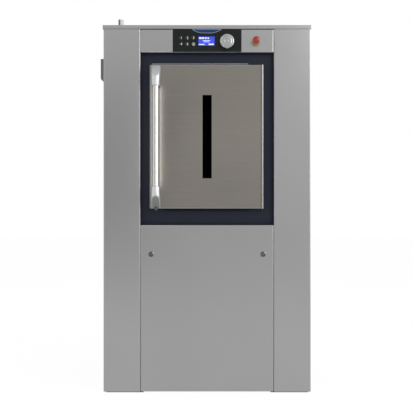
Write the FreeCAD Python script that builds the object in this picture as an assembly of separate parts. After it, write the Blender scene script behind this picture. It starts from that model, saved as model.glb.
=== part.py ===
import FreeCAD, Part
import math
import os

# Barrier washer: a laundry machine with a loading door in front and an unloading door behind.
# Millimetres, +X right, +Y back, +Z up, origin on the floor under the middle of the cabinet.

V = FreeCAD.Vector

# Cabinet
body_width = 1044.0
body_depth = 940.0
body_height = 1850.0
sheet = 1.5
bend = 3.0
panel_bend = 5.0
seam = 0.8
panel_lift = 4.0
cover_edge = 19.0
cover_overhang = 4.0
cover_gap = 0.5
bay_width = 672.0
column_return = 30.0
panel_return = 20.0
side_return = 15.0
side_gap = 0.5

# Zones of the front under the cover; the service panel takes the rest, down to the floor
control_strip_height = 119.5
door_frame_height = 867.5

# Base frame
floor_plate = 3.5
floor_plate_width = 189.0
floor_plate_inset = 13.0
floor_plate_setback = 4.0
beam_width = 139.0
beam_height = 96.5
beam_wall = 4.0
beam_setback = 34.0
cross_size = 60.0
cross_y = 300.0
post_size = 32.0
tube_side = 3.0
post_setback = 40.0
anchor_radius = 7.0
anchor_side = 30.0
anchor_y = 380.0

# Recessed door frame
frame_sheet = 2.0
frame_recess = 24.0
frame_rim_setback = 1.0

# Door
door_width = 570.5
door_offset = 2.75
door_height = 722.0
door_rise = 442.5
door_proud = 20.0
door_depth = 28.0
door_lip = 14.0
liner_left = 277.0
liner_right = 207.0
liner_above = 10.7
liner_foot_rise = 1.5
liner_depth = 12.0
window_width = 46.0
window_height = 418.0
window_margin = 12.0
pane = 4.0

# Continuous hinge along the door's right edge
barrel_radius = 6.0
hinge_pin_radius = 2.5
hinge_pin_clearance = 0.05
knuckle_count = 9
knuckle_gap = 0.3
hinge_gap = 0.6
leaf = 2.0
leaf_depth = 20.0

# Pull handle
handle_from_middle = 256.0
handle_length = 712.0
tube_radius = 15.0
tube_wall = 2.0
tube_clearance = 0.1
handle_standoff = 47.5
bracket_length = 105.0
bracket_slope = 63.0
bracket_tip = 8.0
bracket_end_half = 23.0
bracket_socket_half = 18.5
socket_depth = 30.0
stud_radius = 7.0
stud_drop = 9.0

# Door lock
lock_from_middle = 250.0
lock_width = 44.0
lock_depth = 40.0
lock_height = 64.0
tongue_width = 24.0
tongue_thick = 6.0
tongue_reach = 38.0
slot_clearance = 4.0
slot_side_clearance = 8.0
bolt_radius = 5.0
bolt_clearance = 0.1
bolt_length = 53.0
bolt_gap = 4.0

# Control strip
fascia_width = 346.0
fascia_margin_top = 0.5
fascia_margin_low = 3.0
fascia_thick = 3.0
fascia_cut_margin = 12.0
control_drop = 2.0
display_width = 82.0
display_height = 47.0
display_x = -3.0
display_border = 5.0
display_depth = 18.0
board_width = 290.0
board_height = 86.0
board_thick = 4.0
key_radius = 11.0
key_clearance = 0.2
key_pitch = 31.0
key_middle_x = -98.5
key_proud = 0.6
key_flange_radius = 13.5
key_flange = 2.2
key_back_gap = 0.3
key_stem_radius = 3.0
key_stem_length = 13.0
knob_x = 100.0
knob_drop = 3.5
knob_radius = 35.0
knob_height = 26.0
knob_gap = 2.0
knob_dish_radius = 28.0
knob_dish_depth = 3.0
knob_pointer = 4.0
knob_shaft_radius = 5.0
knob_shaft_length = 20.0
knob_clearance = 0.1
estop_x = 246.0
collar_radius = 20.5
collar_thick = 4.0
neck_radius = 14.5
neck_length = 14.0
estop_barrel_radius = 11.0
estop_barrel_length = 25.0
estop_barrel_clearance = 0.2
estop_stem_radius = 6.0
estop_stem_clearance = 0.1
estop_head_radius = 18.0
estop_head_side = 10.0
estop_head_dome = 8.0
estop_gap = 9.0

# Quarter-turn locks of the service panel
cam_lock_x = 282.0
cam_lock_drop = 148.0
cam_head_radius = 14.0
cam_head_thick = 7.0
cam_head_round = 2.5
cam_recess_radius = 8.0
cam_recess_depth = 5.0
cam_driver_radius = 5.0
cam_shank_radius = 9.0
cam_clearance = 0.1
cam_length = 42.0
cam_width = 16.0
cam_thick = 3.0
cam_gap = 0.5
keeper_reach = 25.0
keeper_thick = 3.0
keeper_height = 60.0
keeper_setback = 26.5

# Tub and its necks
tub_front_gap = 85.0
tub_wall = 3.0
tub_length = 510.0
tub_end_thick = 10.0
tub_end_rim = 12.0
mouth_width = 370.0
mouth_height = 430.0
mouth_corner = 30.0
neck_end_gap = 19.0
sump_length = 280.0
sump_width = 120.0
sump_depth = 45.0
drain_x = 80.0
drain_bore = 22.0
drain_body_radius = 40.0
drain_body_length = 90.0
drain_pipe_radius = 25.0
drain_pipe_end = 40.0
drain_spigot = 100.0
drain_bead_radius = 30.0
drain_bead = 8.0

# Rubber bellows between the necks and the door frames
bellows_wall = 4.0
bellows_fold = 16.0
bellows_cuff = 15.0
bellows_lip = 22.0
bellows_lip_thick = 3.5
bellows_clearance = 0.3
frame_hole_grow = 8.0

# Drum
drum_gap = 40.0
drum_sheet = 2.0
drum_end_sheet = 3.0
drum_length = 460.0
hatch_half_angle = 28.0
hatch_half_length = 175.0
shutter_lap_angle = 4.0
shutter_lap = 7.0
shutter_gap = 0.5
shutter_sheet = 2.0
shutter_travel = 72.0
rail_height = 6.0
rail_width = 6.0
rail_gap = 0.5
rail_run_out = 2.0
grip_height = 8.0
grip_length = 120.0
grip_angle = 2.0
lifter_height = 60.0
lifter_width = 80.0
lifter_top = 24.0
lifter_sheet = 3.0
lifter_count = 3

# Shafts, bearings and drive
shaft_radius = 30.0
shaft_clearance = 0.05
shaft_flange_radius = 90.0
shaft_flange = 12.0
shaft_hole_clearance = 5.0
housing_flange_radius = 100.0
housing_flange = 12.0
housing_radius = 65.0
housing_length = 41.0
bearing_radius = 50.0
bearing_width = 30.0
pulley_gap = 15.0
pulley_width = 30.0
pulley_radius = 210.0
pulley_rim = 15.0
pulley_web = 8.0
pulley_hub_radius = 45.0
pulley_hole_radius = 38.0
pulley_hole_circle = 120.0
pulley_hole_count = 5
belt_thick = 5.0
belt_side = 2.0
belt_clearance = 0.3
motor_drop = 597.0
motor_radius = 105.0
motor_length = 275.0
motor_end_gap = 10.0
motor_foot = 15.0
motor_foot_half = 90.0
motor_shaft_radius = 19.0
motor_shaft_clearance = 0.05
motor_shaft_depth = 25.0
motor_pulley_radius = 50.0

# Suspension
cradle_plate = 12.0
cradle_top_half = 110.0
cradle_foot_half = 340.0
cradle_foot_drop = 866.5
cradle_foot_inner = 150.0
cradle_foot_side = 32.0
cradle_bar = 40.0
cradle_window_half = 120.0
cradle_window_height = 190.0
tray_half = 130.0
spring_side = 92.0
spring_y = 290.0
spring_radius = 55.0
spring_wire = 8.0
spring_turns = 6
spring_clearance = 0.2
damper_y = 190.0
damper_radius = 24.0
damper_bore = 20.0
damper_share = 0.6
damper_cap = 20.0
damper_rod_radius = 9.0
damper_rod_clearance = 0.08
damper_overlap_share = 0.45

# Services
inlet_side = 62.0
inlet_y = -210.0
inlet_radius = 15.0
inlet_bore = 11.0
inlet_above = 84.0
inlet_below = 60.0
inlet_flange_radius = 26.0
inlet_flange = 6.0
inlet_clearance = 0.5
valve_side = 50.0
valve_height = 60.0
valve_coil_radius = 18.0
valve_coil_length = 45.0
terminal_proud = 19.0
terminal_depth = 80.0
terminal_height = 110.0
terminal_drop = 273.0
terminal_setback = 42.0
terminal_chamfer = 9.0
terminal_screw_radius = 5.0
terminal_screw_head = 2.5
terminal_screw_pitch = 33.0

# Places that follow from the sizes above
half_width = body_width / 2
front = -body_depth / 2
panel_top = body_height - cover_edge - cover_gap
bay_half = bay_width / 2
frame_top = body_height - cover_edge - control_strip_height
frame_bottom = frame_top - door_frame_height
control_z = (frame_top + body_height - cover_edge) / 2 - control_drop
knob_z = control_z - knob_drop
frame_face = front + frame_recess
frame_back = frame_face + frame_sheet
door_z = frame_bottom + door_rise
door_front = front - door_proud
door_back = door_front + door_depth
door_left = -door_offset - door_width / 2
door_bottom = door_z - door_height / 2
door_top = door_z + door_height / 2
hinge_x = door_width / 2 - door_offset - barrel_radius
hinge_y = door_front + barrel_radius
skin_right = hinge_x - barrel_radius - hinge_gap
liner_back = door_back + liner_depth
handle_y = door_front - handle_standoff
axis_z = door_z
mouth_half_width = mouth_width / 2
mouth_half_height = mouth_height / 2
neck_end = frame_back + neck_end_gap
tub_half = tub_length / 2
tub_radius = -front - tub_front_gap
drum_radius = tub_radius - drum_gap
plate_inner = tub_half + tub_end_thick
plate_outer = plate_inner + cradle_plate
housing_end = plate_outer + housing_flange + housing_length
pulley_near = housing_end + pulley_gap
pulley_far = pulley_near + pulley_width
motor_z = axis_z - motor_drop
tray_top = motor_z - motor_radius - motor_foot
sump_bottom = axis_z - tub_radius - sump_depth - tub_wall
beam_top = floor_plate + beam_height
cradle_foot_z = axis_z - cradle_foot_drop
cradle_foot_outer = half_width - cradle_foot_side
spring_x = half_width - spring_side
damper_length = damper_share * (cradle_foot_z - beam_top)
inlet_x = inlet_side - half_width
terminal_bottom = body_height - terminal_drop
rail_top = body_height - sheet
drum_half = drum_length / 2
shutter_inner = drum_radius + shutter_gap
shutter_outer = shutter_inner + shutter_sheet
fascia_front = front - fascia_thick
fascia_high = body_height - cover_edge - fascia_margin_top
fascia_low = frame_top + fascia_margin_low
cam_lock_z = frame_bottom - cam_lock_drop


def box(x0, x1, y0, y1, z0, z1):
    return Part.makeBox(x1 - x0, y1 - y0, z1 - z0, V(x0, y0, z0))


def rod(radius, start, end):
    along = end - start
    return Part.makeCylinder(radius, along.Length, start, along)


def rod_x(radius, x0, x1, y=0.0, z=None):
    z = axis_z if z is None else z
    return rod(radius, V(x0, y, z), V(x1, y, z))


def square_tube(x0, x1, y0, y1, z0, z1):
    """Square tube along its longest side."""
    lengths = [x1 - x0, y1 - y0, z1 - z0]
    trims = [-1 if length == max(lengths) else tube_side for length in lengths]
    hollow = box(x0 + trims[0], x1 - trims[0], y0 + trims[1], y1 - trims[1], z0 + trims[2], z1 - trims[2])
    return box(x0, x1, y0, y1, z0, z1).cut(hollow)


def fused(pieces):
    return pieces[0].multiFuse(pieces[1:]).removeSplitter()


def turned(shape):
    """The same piece on the unloading side, half a turn about the vertical."""
    rear = shape.copy()
    rear.rotate(V(0, 0, 0), V(0, 0, 1), 180)
    return rear


def mirrored(shape):
    return shape.mirror(V(0, 0, 0), V(1, 0, 0))


def both_sides(shape):
    return Part.makeCompound([shape, mirrored(shape)])


def rounded(shape, radius, wanted):
    return shape.makeFillet(radius, [edge for edge in shape.Edges if wanted(edge.BoundBox)])


def folded_tray(x0, x1, z0, z1, face, depth):
    """Sheet tray with its face to the front, folded edges and an open back."""
    def on_face_or_corner(bounds):
        return bounds.YMax < face + depth / 2 or bounds.YLength > depth / 2
    outer = rounded(box(x0, x1, face, face + depth, z0, z1), panel_bend, on_face_or_corner)
    inner = box(x0 + sheet, x1 - sheet, face + sheet, face + depth + 1, z0 + sheet, z1 - sheet)
    return outer.cut(rounded(inner, panel_bend - sheet, on_face_or_corner))


def mouth_bar(grow, y0, y1):
    """Block with the mouth's rounded outline, grown on all sides, between two depths."""
    half_x = mouth_half_width + grow
    half_z = mouth_half_height + grow
    bar = box(-half_x, half_x, y0, y1, axis_z - half_z, axis_z + half_z)
    return rounded(bar, mouth_corner + grow, lambda bounds: bounds.YLength > (y1 - y0) / 2)


def mouth_ring(inner_grow, outer_grow, y0, y1):
    return mouth_bar(outer_grow, y0, y1).cut(mouth_bar(inner_grow, y0 - 1, y1 + 1))


def sector(r0, r1, x0, x1, angle0, angle1):
    """Part of a ring about the drum's axis; angles start at the front and rise upwards."""
    corners = [V(x0, -r0, axis_z), V(x1, -r0, axis_z), V(x1, -r1, axis_z), V(x0, -r1, axis_z)]
    face = Part.Face(Part.makePolygon(corners + corners[:1]))
    face.rotate(V(0, 0, axis_z), V(-1, 0, 0), angle0)
    return face.revolve(V(0, 0, axis_z), V(-1, 0, 0), angle1 - angle0)


# Cabinet

def base_frame():
    plate_outer_x = half_width - floor_plate_inset
    plate_y = -front - floor_plate_setback
    plate = box(plate_outer_x - floor_plate_width, plate_outer_x, -plate_y, plate_y, 0, floor_plate)
    anchor_x = plate_outer_x - floor_plate_width + anchor_side
    for y in (-anchor_y, anchor_y):
        plate = plate.cut(rod(anchor_radius, V(anchor_x, y, -1), V(anchor_x, y, floor_plate + 1)))
    beam_y = -front - beam_setback
    beam_inner = plate_outer_x - beam_width
    beam = box(beam_inner, plate_outer_x, -beam_y, beam_y, floor_plate, beam_top)
    hollow = box(beam_inner + beam_wall, plate_outer_x - beam_wall, -beam_y - 1, beam_y + 1,
                 floor_plate + beam_wall, beam_top - beam_wall)
    beam = beam.cut(hollow)
    post_inner = plate_outer_x - post_size
    post_y = -front - post_setback
    rail_bottom = rail_top - post_size
    side = [plate, beam]
    for near, far in ((-post_y, -post_y + post_size), (post_y - post_size, post_y)):
        side.append(square_tube(post_inner, plate_outer_x, near, far, beam_top, rail_bottom))
    side.append(square_tube(post_inner, plate_outer_x, -post_y, post_y, rail_bottom, rail_top))
    bars = side + [mirrored(piece) for piece in side]
    cross_z = floor_plate + (beam_height - cross_size) / 2
    for y in (-cross_y, cross_y):
        bars.append(square_tube(-beam_inner, beam_inner, y - cross_size / 2, y + cross_size / 2,
                                cross_z, cross_z + cross_size))
    for near in (-post_y, post_y - post_size):
        bars.append(square_tube(-post_inner, post_inner, near, near + post_size, rail_bottom, rail_top))
    return Part.makeCompound(bars)


def side_panels():
    edge_y = -front - column_return - side_gap
    outer = box(half_width - side_return, half_width, -edge_y, edge_y, panel_lift, panel_top)
    inner = box(half_width - side_return - 1, half_width - sheet, -edge_y + sheet, edge_y - sheet,
                panel_lift - 1, panel_top + 1)
    return both_sides(outer.cut(inner))


def top_cover():
    x = half_width + cover_overhang
    y = -front + cover_overhang
    rim = body_height - cover_edge
    block = box(-x, x, -y, y, rim, body_height)
    outer = rounded(block, bend, lambda b: b.ZMin > rim + sheet or b.ZLength > cover_edge / 2)
    outer = outer.cut(box(-x + sheet, x - sheet, -y + sheet, y - sheet, rim - 1, body_height - sheet))
    hole = rod(inlet_radius + inlet_clearance, V(inlet_x, inlet_y, rim), V(inlet_x, inlet_y, body_height + 1))
    return outer.cut(hole)


def right_column():
    """Front corner cover, with the keeper that the service panel's lock turns behind."""
    block = box(bay_half, half_width, front, front + column_return, panel_lift, panel_top)
    hollow = box(bay_half + sheet, half_width - sheet, front + sheet, front + column_return + 1,
                 panel_lift - 1, panel_top + 1)

    def front_corner(bounds):
        return bounds.ZLength > body_height / 2 and bounds.YMax < front + 2 * sheet
    outer = rounded(block, panel_bend, front_corner)
    hollow = rounded(hollow, panel_bend - sheet, front_corner)
    keeper = box(bay_half - keeper_reach, bay_half + sheet,
                 front + keeper_setback, front + keeper_setback + keeper_thick,
                 cam_lock_z - keeper_height / 2, cam_lock_z + keeper_height / 2)
    return fused([outer.cut(hollow), keeper])


def service_panel(with_locks):
    half = bay_half - seam
    panel = folded_tray(-half, half, panel_lift, frame_bottom - seam / 2, front, panel_return)
    if with_locks:
        for x in (-cam_lock_x, cam_lock_x):
            hole = rod(cam_shank_radius + cam_clearance, V(x, front - 1, cam_lock_z),
                       V(x, front + panel_return, cam_lock_z))
            panel = panel.cut(hole)
    return panel


def control_panel(with_fascia):
    half = bay_half - seam
    panel = folded_tray(-half, half, frame_top + seam / 2, panel_top, front, panel_return)
    hole = rod(estop_barrel_radius + estop_barrel_clearance, V(estop_x, front - 1, control_z),
               V(estop_x, front + panel_return, control_z))
    panel = panel.cut(hole)
    if with_fascia:
        cut_x = fascia_width / 2 - fascia_cut_margin
        panel = panel.cut(box(-cut_x, cut_x, front - 1, front + panel_return / 2,
                              fascia_low + fascia_cut_margin, fascia_high - fascia_cut_margin))
    return panel


def door_frame():
    """Recessed frame round the mouth: a plate with its rim folded forward, and the lock's slot."""
    half = bay_half - seam
    low = frame_bottom + seam / 2
    high = frame_top - seam / 2
    rim = front + frame_rim_setback
    outer = box(-half, half, rim, frame_back, low, high)
    inner = box(-half + frame_sheet, half - frame_sheet, rim - 1, frame_face,
                low + frame_sheet, high - frame_sheet)
    slot_half = tongue_width / 2 + slot_side_clearance
    slot_half_height = tongue_thick / 2 + slot_clearance
    slot = box(-lock_from_middle - slot_half, -lock_from_middle + slot_half, frame_face - 1, frame_back + 1,
               door_z - slot_half_height, door_z + slot_half_height)
    hole = mouth_bar(frame_hole_grow, frame_face - 1, frame_back + 1)
    return outer.cut(inner).cut(hole).cut(slot)


# Controls

def key_places():
    places = []
    for row in (0.5, -0.5):
        for column in (-1, 0, 1):
            places.append((key_middle_x + column * key_pitch, control_z + row * key_pitch))
    return places


def control_fascia():
    half = fascia_width / 2
    plate = box(-half, half, fascia_front, front, fascia_low, fascia_high)
    plate = plate.cut(box(display_x - display_width / 2, display_x + display_width / 2,
                          fascia_front - 1, front + 1,
                          control_z - display_height / 2, control_z + display_height / 2))
    for x, z in key_places():
        plate = plate.cut(rod(key_radius + key_clearance, V(x, fascia_front - 1, z), V(x, front + 1, z)))
    bore = knob_shaft_radius + knob_clearance
    return plate.cut(rod(bore, V(knob_x, fascia_front - 1, knob_z), V(knob_x, front + 1, knob_z)))


def display_module():
    half_x = display_width / 2 + display_border
    half_z = display_height / 2 + display_border
    return box(display_x - half_x, display_x + half_x, front, front + display_depth,
               control_z - half_z, control_z + half_z)


def control_board():
    back = front + display_depth
    return box(-board_width / 2, board_width / 2, back, back + board_thick,
               control_z - board_height / 2, control_z + board_height / 2)


def program_key(x, z):
    flange_front = front + key_back_gap
    flange_back = flange_front + key_flange
    cap = rod(key_radius, V(x, fascia_front - key_proud, z), V(x, flange_front, z))
    flange = rod(key_flange_radius, V(x, flange_front, z), V(x, flange_back, z))
    stem = rod(key_stem_radius, V(x, flange_back, z), V(x, flange_back + key_stem_length, z))
    return fused([cap, flange, stem])


def program_knob():
    back = fascia_front - knob_gap
    face = back - knob_height
    def at(y):
        return V(knob_x, y, knob_z)
    disc = rounded(rod(knob_radius, at(face), at(back)), bend, lambda b: b.YMax < face + bend)
    disc = disc.cut(rod(knob_dish_radius, at(face - 1), at(face + knob_dish_depth)))
    tip = knob_z - knob_radius - knob_pointer
    root = knob_z - knob_radius + knob_pointer
    corners = [V(knob_x, back, tip), V(knob_x + 2 * knob_pointer, back, root),
               V(knob_x - 2 * knob_pointer, back, root)]
    pointer = Part.Face(Part.makePolygon(corners + corners[:1])).extrude(V(0, -knob_height / 2, 0))
    shaft = rod(knob_shaft_radius, at(back - 1), at(back + knob_shaft_length))
    return fused([disc, pointer, shaft])


def estop_collar():
    def at(y):
        return V(estop_x, y, control_z)
    disc = rod(collar_radius, at(front - collar_thick), at(front))
    neck = rod(neck_radius, at(front - collar_thick - neck_length), at(front))
    barrel = rod(estop_barrel_radius, at(front - 1), at(front + estop_barrel_length))
    bore = rod(estop_stem_radius + estop_stem_clearance, at(front - collar_thick - neck_length - 1),
               at(front + estop_barrel_length + 1))
    return fused([disc, neck, barrel]).cut(bore)


def estop_head():
    back = front - collar_thick - neck_length - estop_gap
    def at(y):
        return V(estop_x, y, control_z)
    side = rod(estop_head_radius, at(back - estop_head_side), at(back))
    ball_radius = (estop_head_radius ** 2 + estop_head_dome ** 2) / (2 * estop_head_dome)
    ball = Part.makeSphere(ball_radius, at(back - estop_head_side - estop_head_dome + ball_radius))
    crown = rod(estop_head_radius, at(back - estop_head_side - estop_head_dome), at(back - estop_head_side))
    stem = rod(estop_stem_radius, at(back), at(front + estop_barrel_length))
    return fused([side, ball.common(crown), stem])


def panel_lock(side):
    """Turning insert of a quarter-turn lock; its cam points outwards, behind the column's keeper."""
    x = side * cam_lock_x
    cam_front = front + keeper_setback + keeper_thick + cam_gap
    def at(y):
        return V(x, y, cam_lock_z)
    face = front - cam_head_thick
    head = rounded(rod(cam_head_radius, at(face), at(front)), cam_head_round,
                   lambda b: b.YMax < face + cam_head_round)
    head = head.cut(rod(cam_recess_radius, at(face - 1), at(face + cam_recess_depth)))
    corners = []
    for turn in range(3):
        angle = math.radians(90 + 120 * turn)
        corners.append(V(x + cam_driver_radius * math.cos(angle), face + cam_recess_depth,
                         cam_lock_z + cam_driver_radius * math.sin(angle)))
    driver = Part.Face(Part.makePolygon(corners + corners[:1])).extrude(V(0, 1 - cam_recess_depth, 0))
    shank = rod(cam_shank_radius, at(front - 1), at(cam_front + cam_thick))
    tip = x + side * cam_length
    cam = box(min(x, tip), max(x, tip), cam_front, cam_front + cam_thick,
              cam_lock_z - cam_width / 2, cam_lock_z + cam_width / 2)
    return fused([head, driver, shank, cam])


# Doors

def knuckle_spans(first):
    """Heights of every second knuckle of the continuous hinge, starting with the first or second."""
    step = door_height / knuckle_count
    spans = []
    for number in range(first, knuckle_count, 2):
        low = door_bottom + number * step
        spans.append((low + knuckle_gap / 2, low + step - knuckle_gap / 2))
    return spans


def barrel(low, high):
    return rod(barrel_radius, V(hinge_x, hinge_y, low), V(hinge_x, hinge_y, high))


def hinge_bore():
    radius = hinge_pin_radius + hinge_pin_clearance
    return rod(radius, V(hinge_x, hinge_y, door_bottom - 1), V(hinge_x, hinge_y, door_top + 1))


def hinge_stile():
    """Fixed half of the hinge: a post on the door frame with every second knuckle."""
    near = hinge_y + barrel_radius + hinge_gap
    left = skin_right + leaf + hinge_gap
    right = hinge_x + barrel_radius
    pieces = [box(left, right, near, frame_face, door_bottom, door_top)]
    for low, high in knuckle_spans(0):
        pieces.append(barrel(low, high))
        pieces.append(box(hinge_x, right, hinge_y, near + 1, low, high))
    return fused(pieces).cut(hinge_bore())


def hinge_pin():
    return rod(hinge_pin_radius, V(hinge_x, hinge_y, door_bottom), V(hinge_x, hinge_y, door_top))


def window_cut(y0, y1, margin=0.0):
    half_x = window_width / 2 + margin
    half_z = window_height / 2 + margin
    return box(-half_x, half_x, y0, y1, door_z - half_z, door_z + half_z)


def door_skin():
    """Brushed outer door: a folded box with a lip round its back, and the moving hinge leaf on its edge."""
    block = box(door_left, skin_right, door_front, door_back, door_bottom, door_top)
    def front_edges_and_left_corners(bounds):
        if bounds.XMin > skin_right - 2 * sheet:
            return False
        left_corner = bounds.YLength > sheet and bounds.XMax < door_left + 2 * sheet
        return left_corner or bounds.YMax < door_front + 2 * sheet
    hollow = box(door_left + sheet, skin_right - sheet, door_front + sheet, door_back - sheet,
                 door_bottom + sheet, door_top - sheet)
    skin = rounded(block, panel_bend, front_edges_and_left_corners)
    skin = skin.cut(rounded(hollow, panel_bend - sheet, front_edges_and_left_corners))
    skin = skin.cut(box(door_left + door_lip, skin_right - door_lip, door_back - sheet - 1, door_back + 1,
                        door_bottom + door_lip, door_top - door_lip))
    skin = skin.cut(window_cut(door_front - 1, door_front + sheet + 1))
    plate = box(skin_right, skin_right + leaf, hinge_y, hinge_y + leaf_depth, door_bottom, door_top)
    for low, high in knuckle_spans(0):
        plate = plate.cut(box(skin_right + hinge_gap / 2, hinge_x, hinge_y - barrel_radius,
                              hinge_y + barrel_radius + hinge_gap, low - knuckle_gap, high + knuckle_gap))
    knuckles = [barrel(low, high) for low, high in knuckle_spans(1)]
    return fused([skin, plate] + knuckles).cut(hinge_bore())


def door_liner():
    low = door_bottom + liner_foot_rise
    high = door_top + liner_above
    tray = box(-liner_left, liner_right, door_back, liner_back, low, high)
    tray = tray.cut(box(-liner_left + sheet, liner_right - sheet, door_back - 1, liner_back - sheet,
                        low + sheet, high - sheet))
    tray = tray.cut(window_cut(liner_back - sheet - 1, liner_back + 1))
    tongue = box(-lock_from_middle - tongue_width / 2, -lock_from_middle + tongue_width / 2,
                 liner_back - sheet, liner_back + tongue_reach,
                 door_z - tongue_thick / 2, door_z + tongue_thick / 2)
    eye = rod(bolt_radius + 1, V(-lock_from_middle, bolt_y(), door_z - tongue_thick),
              V(-lock_from_middle, bolt_y(), door_z + tongue_thick))
    return fused([tray, tongue]).cut(eye)


def door_window():
    outer = window_cut(door_front + sheet, door_front + sheet + pane, window_margin)
    inner = window_cut(liner_back - sheet - pane, liner_back - sheet, window_margin)
    return Part.makeCompound([outer, inner])


def bracket_outline(half, z):
    """Plan of a handle bracket at one height: straight sides from the door and a round front."""
    x = -handle_from_middle
    start = V(x - half, door_front, z)
    left = V(x - half, handle_y, z)
    nose = V(x, handle_y - half, z)
    right = V(x + half, handle_y, z)
    end = V(x + half, door_front, z)
    edges = [Part.LineSegment(start, left), Part.Arc(left, nose, right),
             Part.LineSegment(right, end), Part.LineSegment(end, start)]
    return Part.Wire([edge.toShape() for edge in edges])


def upper_bracket():
    """Cast socket for the tube, with a sloping flat end towards the door's edge."""
    end = door_z + handle_length / 2
    low = end - bracket_length
    body = Part.makeLoft([bracket_outline(bracket_socket_half, low), bracket_outline(bracket_end_half, end)],
                         True, True)
    nose = handle_y - bracket_end_half
    wide = 2 * bracket_end_half
    x = -handle_from_middle - wide
    corners = [V(x, nose, end - bracket_slope), V(x, door_front - bracket_tip, end),
               V(x, door_front - bracket_tip, end + 1), V(x, nose - wide, end + 1),
               V(x, nose - wide, end - bracket_slope)]
    wedge = Part.Face(Part.makePolygon(corners + corners[:1])).extrude(V(2 * wide, 0, 0))
    socket = rod(tube_radius + tube_clearance, V(-handle_from_middle, handle_y, low - 1),
                 V(-handle_from_middle, handle_y, low + socket_depth))
    return body.cut(wedge).cut(socket)


def lower_bracket():
    bracket = upper_bracket().mirror(V(0, 0, door_z), V(0, 0, 1))
    stud_y = door_front - stud_radius
    end = door_z - handle_length / 2
    stud = rod(stud_radius, V(-handle_from_middle, stud_y, door_bottom - stud_drop),
               V(-handle_from_middle, stud_y, end + bracket_tip))
    return fused([bracket, stud])


def handle_tube():
    half = handle_length / 2 - bracket_length + socket_depth - tube_clearance
    low = V(-handle_from_middle, handle_y, door_z - half)
    high = V(-handle_from_middle, handle_y, door_z + half)
    return rod(tube_radius, low, high).cut(rod(tube_radius - tube_wall, low, high))


def bolt_y():
    return frame_back + lock_depth / 2


def lock_body():
    high = door_z - tongue_thick / 2 - bolt_gap
    block = box(-lock_from_middle - lock_width / 2, -lock_from_middle + lock_width / 2,
                frame_back, frame_back + lock_depth, high - lock_height, high)
    bore = rod(bolt_radius + bolt_clearance, V(-lock_from_middle, bolt_y(), high - bolt_length),
               V(-lock_from_middle, bolt_y(), high + 1))
    return block.cut(bore)


def lock_bolt():
    high = door_z - tongue_thick / 2 - bolt_gap
    return rod(bolt_radius, V(-lock_from_middle, bolt_y(), high - bolt_length),
               V(-lock_from_middle, bolt_y(), high))


# Tub group

def tub_shell():
    sump_high = axis_z - tub_radius + sump_depth
    def sump(grow):
        x = sump_length / 2 + grow
        y = sump_width / 2 + grow
        return box(-x, x, -y, y, sump_bottom + tub_wall - grow, sump_high)
    outer = fused([rod_x(tub_radius + tub_wall, -tub_half, tub_half),
                   mouth_bar(tub_wall, neck_end, -neck_end), sump(tub_wall)])
    inner = fused([rod_x(tub_radius, -tub_half - 1, tub_half + 1),
                   mouth_bar(0, neck_end - 1, 1 - neck_end), sump(0)])
    drain = rod(drain_bore, V(drain_x, 0, sump_bottom - 1), V(drain_x, 0, sump_bottom + tub_wall + 1))
    return outer.cut(inner).cut(drain)


def tub_end():
    disc = rod_x(tub_radius + tub_wall + tub_end_rim, tub_half, plate_inner)
    return disc.cut(rod_x(shaft_radius + shaft_hole_clearance, tub_half - 1, plate_inner + 1))


def bellows():
    """Rubber ring: cuff on the tub's neck, one fold, and a lip in front of the door frame."""
    cuff_inner = tub_wall + bellows_clearance
    cuff_outer = cuff_inner + bellows_wall
    end = neck_end - bellows_clearance
    fold_back = frame_back + 3 * bellows_wall + bellows_clearance
    fold_mid = fold_back - bellows_wall
    fold_front = frame_back + bellows_clearance
    neck_outer = frame_hole_grow - bellows_clearance
    rings = [mouth_ring(cuff_inner, cuff_outer, end, neck_end + bellows_cuff),
             mouth_ring(0, cuff_outer, fold_back, end),
             mouth_ring(0, bellows_fold, fold_mid, fold_back),
             mouth_ring(bellows_fold - bellows_wall, bellows_fold, fold_front + bellows_wall, fold_mid),
             mouth_ring(0, bellows_fold, fold_front, fold_front + bellows_wall),
             mouth_ring(0, neck_outer, frame_face, fold_front),
             mouth_ring(0, bellows_lip, frame_face - bellows_lip_thick, frame_face)]
    return fused(rings)


def bearing_unit():
    housing = fused([rod_x(housing_flange_radius, plate_outer, plate_outer + housing_flange),
                     rod_x(housing_radius, plate_outer, housing_end)])
    seat = housing_end - bearing_width
    housing = housing.cut(rod_x(shaft_radius + shaft_hole_clearance, plate_outer - 1, housing_end + 1))
    housing = housing.cut(rod_x(bearing_radius + shaft_clearance, seat, housing_end + 1))
    ring = rod_x(bearing_radius, seat, housing_end)
    ring = ring.cut(rod_x(shaft_radius + shaft_clearance, seat - 1, housing_end + 1))
    return Part.makeCompound([housing, ring])


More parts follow.
